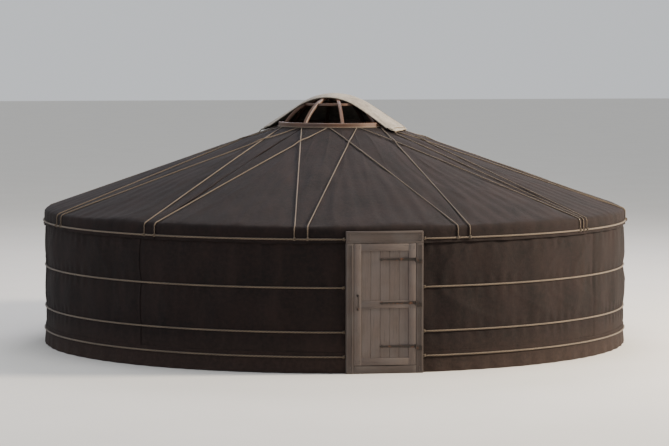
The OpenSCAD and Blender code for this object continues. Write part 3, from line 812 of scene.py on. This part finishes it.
def frame_sill():
    """The sill, hollowed a little in the middle by feet."""
    sill = timber((-DOOR_HALF, FRONT, 0.0), (DOOR_HALF, BACK, SILL_TOP), ACROSS, 0.006)
    edit(sill, "EDGE", lambda edge: abs(edge.verts[0].co.x - edge.verts[1].co.x) > 0.5)
    bpy.ops.mesh.subdivide(number_cuts=15)
    done()
    # The lower half is hidden, so that only the top is drawn down
    edit(sill, "FACE", lambda face: face.calc_center_median().z < SILL_TOP - 0.02)
    bpy.ops.mesh.hide()
    done()
    edit(sill, "EDGE", lambda edge: all(abs(end.co.x) < 0.001 and end.co.z > SILL_TOP - 0.02
                                        for end in edge.verts))
    bpy.ops.transform.translate(value=(0, 0, -0.006), use_proportional_edit=True,
                                proportional_edit_falloff="SMOOTH", proportional_size=DOOR_HALF)
    bpy.ops.mesh.reveal(select=False)
    done()
    return grain_uv(sill, ACROSS)


def pegs(size, spots):
    """The ends of wooden pegs, or nails' heads: low eight-sided domes that face the front."""
    bpy.ops.mesh.primitive_cylinder_add(vertices=8, radius=size, depth=size * 0.8,
                                        rotation=(pi / 2, 0, 0))
    head = placed()
    edit(head, "FACE", lambda face: face.normal.y < -0.9)
    bpy.ops.mesh.inset(thickness=size * 0.35)
    bpy.ops.transform.translate(value=(0, -size * 0.25, 0))
    done()
    return copies(grain_uv(head, (0, 1, 0)), [Matrix.Translation(spot) for spot in spots])


def leaf_frame():
    """The leaf's two stiles and three rails."""
    back = FRONT + LEAF_T
    parts = [timber((low, FRONT, LEAF_LOW), (high, back, LEAF_TOP), UP)
             for low, high in ((-LEAF_HALF, -RAIL_IN), (RAIL_IN, LEAF_HALF))]
    for low in (LEAF_LOW, LEAF_MID - STILE_W / 2, LEAF_TOP - STILE_W):
        parts.append(timber((-RAIL_IN - 0.002, FRONT + 0.0006, low),
                            (RAIL_IN + 0.002, back - 0.0006, low + STILE_W), ACROSS))
        shift_uv(parts[-1], low * 3, low * 5)
    return join(parts)


def leaf_boards():
    """Five upright boards in each panel, with a V where they meet."""
    draw = random.Random(11)
    wide = 2 * RAIL_IN / 5
    parts = []
    for low, high in ((LEAF_LOW + STILE_W, LEAF_MID - STILE_W / 2),
                      (LEAF_MID + STILE_W / 2, LEAF_TOP - STILE_W)):
        for index in range(5):
            x, sink = index * wide - RAIL_IN, PANEL_SINK + draw.uniform(0.0, 0.0015)
            parts.append(timber((x + 0.0004, FRONT + sink, low - 0.004),
                                (x + wide - 0.0004, FRONT + LEAF_T - sink, high + 0.004), UP, 0.004, 1))
            shift_uv(parts[-1], draw.uniform(0, 9), draw.uniform(0, 9))
    return join(parts)


for side, low, high in (("left", -FRAME_SIDE, -DOOR_HALF), ("right", DOOR_HALF, FRAME_SIDE)):
    fit(channelled((low, FRONT, 0.0), (high, BACK, DOOR_TOP), UP), "door_post_" + side, FRAME_WOOD,
        "frame_wood", "jamb_" + side)
fit(channelled((-FRAME_SIDE, FRONT, DOOR_TOP), (FRAME_SIDE, BACK, HEAD_TOP), ACROSS), "door_lintel",
    FRAME_WOOD, "frame_wood", "door_head")
fit(frame_sill(), "door_threshold", FRAME_WOOD, "frame_wood", "door_sill")
spots = [(x, FRONT + CHANNEL_D, z) for x in (-0.530, 0.530) for z in (2.015, 2.085, 0.045, 0.095)]
fit(pegs(0.009, spots), "frame_pegs", LEAF_WOOD, "frame_wood")
fit(leaf_frame(), "leaf_frame", LEAF_WOOD, "leaf_wood", "door_leaf", body="door")
fit(leaf_boards(), "leaf_boards", LEAF_WOOD, "leaf_wood", "door_leaf", body="door")
rails = (LEAF_LOW + STILE_W / 2, LEAF_MID - 0.030, LEAF_TOP - STILE_W / 2)
spots = [(x, FRONT, z + off) for x in (-0.385, -0.445, 0.385, 0.445) for z in rails
         for off in (-0.015, 0.015)]
fit(pegs(0.007, spots), "leaf_pegs", FRAME_WOOD, "leaf_wood", body="door")
straps = [level + 0.0225 for level in (LEAF_LOW + 0.260, LEAF_MID, LEAF_TOP - 0.260)]
spots = [(x, FRONT - 0.0066, z) for z in straps for x in (0.430, 0.370, 0.240, 0.100, -0.050)]
fit(pegs(0.008, spots), "strap_rivets", IRON, "hinge_iron", body="door")
spots = [(x, FRONT - 0.0064, z - off) for z in straps for off in (0.054, 0.014) for x in (0.505, 0.550)]
fit(pegs(0.006, spots), "plate_nails", IRON, "hinge_iron")

QUARTERS = ("front", "right", "back", "left")
for node in ("door_straps", "door_handle", "hinge_pins"):
    clad(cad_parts[node], IRON)
for quarter in QUARTERS:
    clad(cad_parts["roof_poles_" + quarter], POLE_WOOD)


# Wall felts

def cut_felt(columns, rows, place, thickness):
    """A felt: a grid whose points place(s, t) hangs up, from 0 to 1 across and up. It gives each
    one's point, its place on the flat cut, and its distance from the nearest edge."""
    bpy.ops.mesh.primitive_grid_add(x_subdivisions=columns, y_subdivisions=rows, size=2)
    felt = bpy.context.object
    mesh = felt.data
    hung = [place((vertex.co.x + 1) / 2, (vertex.co.y + 1) / 2) for vertex in mesh.vertices]
    for loop, corner in zip(mesh.loops, mesh.uv_layers.active.data):
        corner.uv = hung[loop.vertex_index][1]
    mesh.attributes.new("edge", "FLOAT", "POINT").data.foreach_set("value", [item[2] for item in hung])
    for vertex, item in zip(mesh.vertices, hung):
        vertex.co = item[0]
    edit(felt)
    bpy.ops.mesh.remove_doubles(threshold=0.0002)
    done()
    return modify(felt, "SOLIDIFY", thickness=thickness, offset=-1)


def hang(felt, flat, name, material, slot, node, rests_on, held="stretched", area=None):
    """Fits a felt. Its flat size and what it lies on are not used."""
    fit(felt, name, material, slot, node, smooth=60)
    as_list(rests_on)


def lumps(x, y, seed, octaves=3):
    """Slow unevenness of hand-rolled felt, from -1 to 1. With one octave it is a smooth drift."""
    # The noise is cut at a slant, because along its own axes it shows as a grid
    slant = Vector((0.81 * x + 0.36 * y, 0.78 * y - 0.42 * x, seed + 0.45 * x + 0.52 * y))
    return noise.fractal(slant, 0.9, 2.1, octaves)


def wave(along, pitch, phase=0.0):
    """A wave along a felt, with its pitch in metres."""
    return sin(along * 2 * pi / pitch + phase)


def belly(z):
    """How far the wall felt may swell: most halfway between two belts, and not at all at one."""
    for low, high, most in ((BELT_FOOT_Z, BELT_LOW_Z, 0.45), (BELT_LOW_Z, BELT_MID_Z, 1.0),
                            (BELT_MID_Z, VALANCE_Z + 0.02, 0.9)):
        if low < z < high:
            return most * sin(pi * (z - low) / (high - low)) ** 0.8
    return 0.0


def pucker(along, z):
    """Small upright creases that spread from each belt and die out two hands' widths away. Each has
    its own place and strength."""
    total = 0.0
    for level in (BELT_LOW_Z, BELT_MID_Z, VALANCE_Z - 0.03):
        off = abs(z - level)
        bite = exp(-(off / 0.15) ** 2) * (1 - exp(-(off / 0.025) ** 2))
        crease = wave(along, 0.21, 4 * noise.noise(Vector((along * 1.3, level, 4.0))))
        total += bite * crease * (0.7 + noise.noise(Vector((along * 2.1, level, 14.0))))
    return total


WALL_EDGES = [7.06, 48.5, 90.0, 135.0, 180.0, 225.0, 270.0, 311.5, 352.94]
LAP = 0.085


def wall_felt(number):
    """One of the eight wall felts. It lies under its neighbour at its first edge and over the next one
    at its other edge, swells between the belts, and hangs in slow folds."""
    first, last = number > 0, number < len(WALL_EDGES) - 2
    start = radians(WALL_EDGES[number]) * FELT_OUT - (LAP if first else 0)
    end = radians(WALL_EDGES[number + 1]) * FELT_OUT + (LAP if last else 0)
    width, length, foot = end - start, 2.125, 0.028

    def place(s, t):
        u, v = s * width, t * length
        z, along = foot + v, start + u
        if (first or s > 0.5) and (last or s < 0.5):
            along += 0.014 * abs(2 * s - 1) ** 6 * lumps(z * 1.5, number * 3.1, 1.0)
        # Slanting drag lines, where the weight hangs between the belts
        crease = 1 - abs(sin(along * 2.7 + 5.5 * lumps(along * 0.35, z * 0.9, 31.0, 1) + z * 1.9))
        fold = wave(along, 0.83, 2.6 * lumps(along * 0.5, z * 0.7, 6.0, 1))
        swell = 0.020 + 0.018 * lumps(along * 0.9, z * 0.8, 2.0) + 0.010 * fold + 0.012 * crease ** 5
        radius = FELT_OUT - 0.0006 + belly(z) * swell + 0.008 * pucker(along, z)
        if first:
            radius -= 0.0118 * (1 - ease(2 * LAP + 0.005, 2 * LAP + 0.075, u))
        if z > VALANCE_Z:
            radius -= 0.003 * ease(VALANCE_Z, VALANCE_Z + 0.05, z)
        edge = min(u if first else 1.0, width - u if last else 1.0, v, length - v)
        return at(degrees(along / FELT_OUT), radius, z), (u + number * 4.3, v + number * 2.9), edge

    return cut_felt(round(width / 0.038), round(length / 0.038), place, 0.0105), (width, length)


def wall_lining(number):
    """The felt that lies against the lattice, pressed a little into its diamonds."""
    start = radians(max(7.1, number * 90)) * LATTICE_OUT
    end = radians(min(352.9, (number + 1) * 90)) * LATTICE_OUT
    width, length, foot = end - start, 2.15, 0.004

    def place(s, t):
        u, v = s * width, t * length
        bearing = degrees((start + u) / LATTICE_OUT)
        press = (cos(2 * pi * (bearing - LATTICE_START) / HEAD_PITCH)
                 + cos(2 * pi * (foot + v - FORK_H) / CELL_H))
        radius = FELT_IN + 0.013 - 0.0016 * (press + 2) + 0.002 * lumps(u, v, 9.0)
        return at(bearing, radius, foot + v), (u + number * 6.1, v), min(v, length - v) + 0.1

    return cut_felt(round(width / 0.06), round(length / 0.06), place, 0.009), (width, length)


def foot_band(number):
    """A strip of felt round the foot of the wall, tied on by the lowest rope and spread at the ground."""
    start = radians(max(7.05, number * 90)) * BAND_OUT - (LAP if number > 0 else 0)
    end = radians(min(352.95, (number + 1) * 90)) * BAND_OUT
    width, length = end - start, 0.315

    def place(s, t):
        u, v = s * width, t * length
        along = start + u
        z = 0.003 + v + 0.010 * lumps(along * 0.9, 5.0, number) * abs(2 * t - 1)
        spread = 0.010 * ease(0.25, 0.0, z) * (1 + 0.8 * wave(along, 0.37, 2 * lumps(along, 0, 3.0)))
        lip = 0.008 * ease(0.25, 0.31, z) * (0.4 + lumps(along * 2.2, 1.0, 7.0))
        radius = BAND_OUT - 0.0005 + spread + lip
        if number > 0:
            radius -= 0.009 * (1 - ease(LAP, LAP + 0.06, u))
        edge = min(v, length - v, u + 0.02)
        return at(degrees(along / BAND_OUT), radius, max(0.002, z)), (u + number * 7.7, v), edge

    return cut_felt(round(width / 0.045), 9, place, 0.009), (width, length)


for number in range(8):
    hang(*wall_felt(number), f"wall_felt_{number + 1}", DARK_FELT, "dark_felt",
         "wall_felt_" + CORNERS[number // 2], [f"lattice_laths_{number + 1}"])
for number, corner in enumerate(CORNERS):
    hang(*wall_lining(number), f"wall_lining_{number + 1}", LINING_FELT, "dark_felt",
         "wall_felt_" + corner, [f"lattice_laths_{2 * number + 1}"])
    hang(*foot_band(number), f"foot_band_{number + 1}", DARK_FELT, "dark_felt",
         "wall_felt_" + corner, [f"wall_felt_{2 * number + 1}"])

# Ropes over the roof. A taut rope runs straight on the unrolled cone, from the crown to the eave.
EAVE_Z = roof_z(VALANCE_OUT)
EAVE_ROUND, EAVE_TURN = 0.060, pi / 2 - SLOPE
EAVE_C = VALANCE_OUT - EAVE_ROUND, EAVE_Z - EAVE_ROUND * tan(EAVE_TURN / 2)
EAVE_IN = VALANCE_OUT - EAVE_ROUND * tan(EAVE_TURN / 2) * cos(SLOPE)
ROPE_START_R, ROPE_END_R = 0.9576, EAVE_IN - 0.020
TOP_SPREAD, EAVE_SPREAD = 2.0, 1.2
ROPE_STEP = 360 / ROPE_PAIRS


def unrolled(radius, bearing):
    """A point of the roof on the unrolled cone."""
    turn = radians(bearing) * cos(SLOPE)
    return Vector((cos(turn), sin(turn))) * radius / cos(SLOPE)


ROUTE_START = unrolled(ROPE_START_R, TOP_SPREAD)
ROUTE_RUN = unrolled(ROPE_END_R, ROPE_STEP - EAVE_SPREAD) - ROUTE_START
HALF_TURN = tan(radians(ROPE_STEP / 2) * cos(SLOPE))
CROSS_T = (ROUTE_START.x * HALF_TURN - ROUTE_START.y) / (ROUTE_RUN.y - ROUTE_RUN.x * HALF_TURN)
HUMP_T = 0.220 / ROUTE_RUN.length


def roof_stop(bearing, radius, lift):
    """A point above the roof felt."""
    return at(bearing, radius + sin(SLOPE) * lift, roof_z(radius) + cos(SLOPE) * lift)


def eave_stops(bearing):
    """The way round the eave and down to the top belt."""
    centre_r, centre_z = EAVE_C
    bend = EAVE_ROUND + ROPE_LIFT
    stops = [at(bearing, centre_r + bend * cos(a), centre_z + bend * sin(a))
             for a in (EAVE_TURN * k / 6 for k in range(6, -1, -1))]
    return stops + [at(bearing, centre_r + bend, z) for z in (centre_z - 0.04, BELT_TOP_Z + BELT_R)]


def route_point(t, start, way):
    """A point of a roof rope, which humps over the one it crosses if it lies on top."""
    spot = ROUTE_START + ROUTE_RUN * t
    bearing = degrees(atan2(spot.y, spot.x)) / cos(SLOPE)
    off = min(1.0, abs(t - CROSS_T) / HUMP_T)
    hump = (2 * ROPE_R + 0.0012) * cos(pi / 2 * off) ** 2 if way < 0 else 0.0
    return roof_stop(start + way * bearing, spot.length * cos(SLOPE), ROPE_LIFT + hump)


times = [0.0] + [CROSS_T + k * HUMP_T / 4 for k in range(-4, 5)]
times += [CROSS_T + HUMP_T + (1 - CROSS_T - HUMP_T) * k / 12 for k in range(1, 13)]
rope_ends, routes = [], []
for pair in range(ROPE_PAIRS):
    start = (pair + 0.5) * ROPE_STEP
    for way in (-1, 1):
        rope_ends.append(start + way * (ROPE_STEP - EAVE_SPREAD))
        routes.append([route_point(t, start, way) for t in times] + eave_stops(rope_ends[-1]))
ring_r = RIM_R + SEAT + ROPE_R
ring_z = roof_z(ring_r) + ROPE_R / cos(SLOPE) + SEAT
routes.append([at(bearing, ring_r, ring_z) for bearing in range(0, 365, 5)])
fit(tube(routes, ROPE_R), "roof_net", ROPE, "hair_rope", "roof_ropes", smooth=60)

# Belts round the wall, from one door post to the other: name, radius of their middles and height
BELTS = [(name, radius + SEAT + BELT_R, z) for name, radius, z in (
    ("foot", BAND_OUT, BELT_FOOT_Z), ("low", FELT_OUT, BELT_LOW_Z), ("middle", FELT_OUT, BELT_MID_Z),
    ("top", VALANCE_OUT, BELT_TOP_Z))]
COVER_CORNERS = [OPEN_BEARING + turn for turn in (75, 135, 225, 285)]


def belt_end(radius):
    """The bearing at which a belt meets the door post."""
    return degrees(asin((FRAME_SIDE - 0.004) / radius))


def belt_hitch():
    """A clove hitch of thinner rope round a belt: a turn on each side, and one that crosses the front."""
    cord = 0.0062
    wide = BELT_R + cord
    left = [(-0.011 + 0.004 * k / 14, wide, pi * k / 6) for k in range(15)]
    right = [(0.007 + 0.004 * k / 14, wide, pi * k / 6 + 0.4) for k in range(15)]
    over = [(-0.016 + 0.004 * k, wide + 0.0115 * sin(pi * k / 8), pi * (1.18 - 0.09 * k))
            for k in range(9)]
    return tube([[Vector((x, out * cos(turn), out * sin(turn))) for x, out, turn in part]
                 for part in (left, right, over)], cord, 6)


for name, radius, z in BELTS:
    first = belt_end(radius)
    route = [at(first + (360 - 2 * first) * k / 180, radius, z) for k in range(181)]
    fit(tube([route], BELT_R, 10), "wall_belt_" + name, ROPE, "hair_rope", "belt_" + name, smooth=60)
knots = [faced(bearing, 0, -BELTS[3][1], BELT_TOP_Z) for bearing in rope_ends + COVER_CORNERS]
knots += [faced(side * (belt_end(radius) + 0.4), 0, -radius, z) for side in (-1, 1)
          for name, radius, z in BELTS]
fit(copies(belt_hitch(), knots), "belt_knots", ROPE, "hair_rope", smooth=60)

# Roof felts
VALANCE_RISE, ROOF_LAP = EAVE_C[1] - VALANCE_Z, 1.1
ROOF_PATH = VALANCE_RISE + EAVE_ROUND * EAVE_TURN + (EAVE_IN - RIM_R - 0.006) / cos(SLOPE)


def roof_profile(v):
    """Radius, height and the normal's angle at a distance v up the felt from the valance's edge."""
    if v < VALANCE_RISE:
        return VALANCE_OUT, VALANCE_Z + v, 0.0
    turn = min(EAVE_TURN, (v - VALANCE_RISE) / EAVE_ROUND)
    run = max(0.0, v - VALANCE_RISE - EAVE_ROUND * EAVE_TURN)
    return (EAVE_C[0] + EAVE_ROUND * cos(turn) - run * cos(SLOPE),
            EAVE_C[1] + EAVE_ROUND * sin(turn) + run * sin(SLOPE), turn)


def rope_distance(radius, bearing):
    """Distance of a point of the roof from the nearest rope over it."""
    off = (bearing - ROPE_STEP / 2) % ROPE_STEP
    ways = [abs((unrolled(radius, angle) - ROUTE_START).cross(ROUTE_RUN)) / ROUTE_RUN.length
            for angle in (off, ROPE_STEP - off, -off, off - ROPE_STEP)]
    return min(ways + [radius * abs(radians((bearing - corner + 180) % 360 - 180))
                       for corner in COVER_CORNERS])


def pole_share(bearing):
    """1 halfway between two poles, and -1 on a pole."""
    return cos(2 * pi * (bearing - LATTICE_START) / HEAD_PITCH)


def roof_felt(number):
    """A quarter of the roof felt: it swells between the ropes, shows the poles as faint ribs, turns
    over a soft eave and ends in a valance that ripples below the top belt."""
    first, turns = number * 90 - 45 - ROOF_LAP, 90 + 2 * ROOF_LAP
    span, lap = radians(turns), 2 * ROOF_LAP / turns

    def place(s, t):
        # The rows lie closer at the eave, where the felt bends
        v = ROOF_PATH * t * (0.6 + 0.4 * t)
        radius, z, turn = roof_profile(v)
        bearing = first + s * turns
        along = radians(bearing) * VALANCE_OUT
        flat = unrolled(radius + max(0.0, VALANCE_RISE - v), bearing - number * 90)
        on_roof = ease(VALANCE_RISE, VALANCE_RISE + 0.16, v)
        below = ease(BELT_TOP_Z - VALANCE_Z, 0.0, v)
        swell = 0.015 * ease(0.0, 0.30, rope_distance(radius, bearing))
        slow = 0.016 * lumps(flat.y * 0.8, flat.x * 0.7, 11.0 + number)
        drift = lumps(flat.y * 0.3, flat.x * 0.5, 41.0 + number, 1)
        drag = 0.008 * (1 - abs(sin(bearing * 0.31 + 4.5 * drift))) ** 5
        push = (swell + slow + drag) * on_roof * ease(0.95, 1.15, radius)
        push -= 0.0032 * (pole_share(bearing) + 1) * on_roof * ease(1.6, 3.4, radius)
        push += below * (0.010 + 0.009 * wave(along, 0.46, 2.5 * lumps(along * 0.6, 0, 5.0)))
        push += 0.0025 * (1 - on_roof) * wave(along, 0.27) * ease(0.0, 0.05, abs(v - 0.06))
        if number > 0:
            push -= 0.0125 * (1 - ease(0.20, 0.30, s * span * radius))
        else:
            push -= 0.0125 * (1 - ease(lap, lap * 1.6, s))
        z += 0.013 * lumps(along * 1.1, 3.0, 8.0) * below
        point = at(bearing, radius + push * cos(turn), z + push * sin(turn))
        edge = min(s * span * radius + 0.02, (1 - s) * span * radius, v, ROOF_PATH - v)
        return point, (flat.y + number * 9.7, flat.x + number * 3.1), edge

    area = span * (VALANCE_OUT ** 2 - RIM_R ** 2) / 2 / cos(SLOPE) + span * VALANCE_OUT * VALANCE_RISE
    return cut_felt(200, 76, place, 0.012), (span * VALANCE_OUT, ROOF_PATH), area


def roof_lining(number):
    """The under felt, which lies on the poles and sags a little between them."""
    first = number * 90 - 45
    out, inner = VALANCE_OUT - 0.030, RIM_R + 0.010

    def place(s, t):
        radius = out + (inner - out) * t
        bearing = first + s * 90
        sag = 0.006 * (pole_share(bearing) + 1) * ease(0.9, 3.0, radius) * 0.5
        z = axis_z(radius) + (POLE_SEAT + 0.0135 - sag) / cos(SLOPE)
        flat = unrolled(radius, bearing - number * 90)
        return at(bearing, radius, z), (flat.y + number * 5.5, flat.x), 0.2

    area = pi / 4 * (out ** 2 - inner ** 2) / cos(SLOPE)
    return cut_felt(125, 26, place, 0.012), (out * pi / 2, (out - inner) / cos(SLOPE)), area


for number, quarter in enumerate(QUARTERS):
    node, poles = "roof_felt_" + quarter, ["roof_poles_" + quarter]
    felt, flat, area = roof_felt(number)
    if quarter == "front":
        cut_round_frame(felt, HEAD_TOP + 0.001)
    hang(felt, flat, node + "_outer", DARK_FELT, "dark_felt", node, poles, area=area)
    felt, flat, area = roof_lining(number)
    hang(felt, flat, "roof_lining_" + quarter, LINING_FELT, "dark_felt", node, poles, area=area)

# Crown cover
CORNER_R = 1.270
FLAP_L, FLAP_ROLL, FLAP_HALF = 0.600, 0.10, 1.13


def brim(turn):
    """Radius of the cover's edge at an angle from its open side: drawn in between its four corners."""
    turn = abs((turn + 180) % 360 - 180)
    if turn < 75:
        return min(CORNER_R, COVER_EDGE / max(0.05, cos(radians(turn))))
    if turn < 135:
        corner = COVER_EDGE / cos(radians(75))
        corner += (CORNER_R - corner) * (turn - 75) / 60
        return corner - 0.075 * sin(pi * (turn - 75) / 60)
    return CORNER_R - 0.120 * sin(pi * (turn - 135) / 90)


def cover_point(turn, radius, lift):
    """A point on the cover: over the crown's dome, then straight down to its edge on the roof."""
    ball = WHEEL_R + 0.0010
    foot_r = max(1.10, brim(turn))
    foot_z = roof_z(foot_r) + 0.0207 / cos(SLOPE) - WHEEL_C
    touch = atan2(foot_z, foot_r) + acos(ball / hypot(foot_r, foot_z))
    touch_r = ball * cos(touch)
    up = acos(radius / ball) if radius < touch_r else touch
    z = WHEEL_C + ball * sin(up) - max(0.0, radius - touch_r) / tan(touch)
    # Folds run down from the crown and deepen towards the edge
    fold = 0.5 + 0.5 * sin(radians(turn) * 19 + 2.4 * lumps(turn * 0.02, 1, 2.0))
    dent = (1 + lumps(turn * 0.035, radius * 2.0, 14.0)) / 2
    out = lift + 0.012 * ease(0.55, 1.15, radius) * fold + 0.007 * ease(0.3, 0.9, radius) * dent
    return at(OPEN_BEARING + turn, radius + out * cos(up), z + out * sin(up))


def cover_place(s, t):
    """A point of the felt over the crown's dome, drawn down at its four corners."""
    turn = s * 360
    radius, angle = brim(turn) * t, radians(turn)
    return (cover_point(turn, radius, 0.0075), (radius * sin(angle), radius * cos(angle)),
            brim(turn) - radius)


def flap_place(s, t):
    """A point of the part that is folded back. It rolls over the straight edge in a soft bend, lies on
    the rest of the cover and ends in an uneven edge."""
    across = 2 * s - 1
    down = max(0.0, (t - FLAP_ROLL) / (1 - FLAP_ROLL)) * (FLAP_L + 0.035 * lumps(across * 1.6, 2.0, 17.0))
    ahead = COVER_EDGE - down
    half = FLAP_HALF
    # The half width that ends on the brim is found in a few rounds
    for _ in range(8):
        reach = brim(degrees(atan2(half, ahead))) - 0.012
        half = min(FLAP_HALF, sqrt(max(0.01, reach ** 2 - ahead ** 2)))
    side = across * half
    roll = min(1.0, t / FLAP_ROLL) * pi
    lift = 0.0105 * (1 - cos(roll))
    lift += 0.005 * (1 + lumps(side * 2.2, down * 2.6, 21.0)) * ease(0.1, 0.5, t)
    point = cover_point(degrees(atan2(side, ahead)), hypot(side, ahead), lift)
    point += at(OPEN_BEARING, 0.011 * sin(roll), 0.0)
    return point, (side + 5.0, down + 3.0), min((1 - abs(across)) * half, (1 - t) * FLAP_L)


hang(cut_felt(180, 34, cover_place, 0.007), (2.60, 1.75), "crown_cover_cloth", PALE_FELT, "pale_felt",
     "crown_cover", ["crown_spokes", "roof_net"], area=3.60)
hang(cut_felt(96, 34, flap_place, 0.006), (2.60, 0.65), "crown_cover_flap", PALE_FELT, "pale_felt",
     "crown_cover", ["crown_cover_cloth"], held="folded")

hem = [cover_point(75 + k * 2.5, brim(75 + k * 2.5), 0.004) for k in range(85)]
fit(tube([hem], 0.0055, 6), "crown_cover_hem", PALE_ROPE, "pale_felt", smooth=60)
hem = [(0.0, 0.16 + 0.06 * k) for k in range(14)] + [(k / 60, 1.0) for k in range(61)]
hem += [(1.0, 0.94 - 0.06 * k) for k in range(14)]
hem = [flap_place(s, t)[0] for s, t in hem]
fit(tube([hem], 0.005, 6), "crown_flap_hem", PALE_ROPE, "pale_felt", smooth=60)


def cover_cord(bearing):
    """A cord from a corner of the cover, over the roof and the eave, to the top belt."""
    turn = bearing - OPEN_BEARING
    start = brim(turn)
    near = start + 0.05
    stops = [cover_point(turn, start - 0.02, 0.012), cover_point(turn, start, 0.006)]
    stops += [roof_stop(bearing, near + (ROPE_END_R - near) * k / 14, ROPE_LIFT) for k in range(15)]
    return stops + eave_stops(bearing)


fit(tube([cover_cord(bearing) for bearing in COVER_CORNERS], ROPE_R), "crown_cover_cords", ROPE,
    "hair_rope", "crown_cover_ropes", smooth=60)

low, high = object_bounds()
{"cad": [list(cad_low), list(cad_high)], "visual": [list(low), list(high)]}
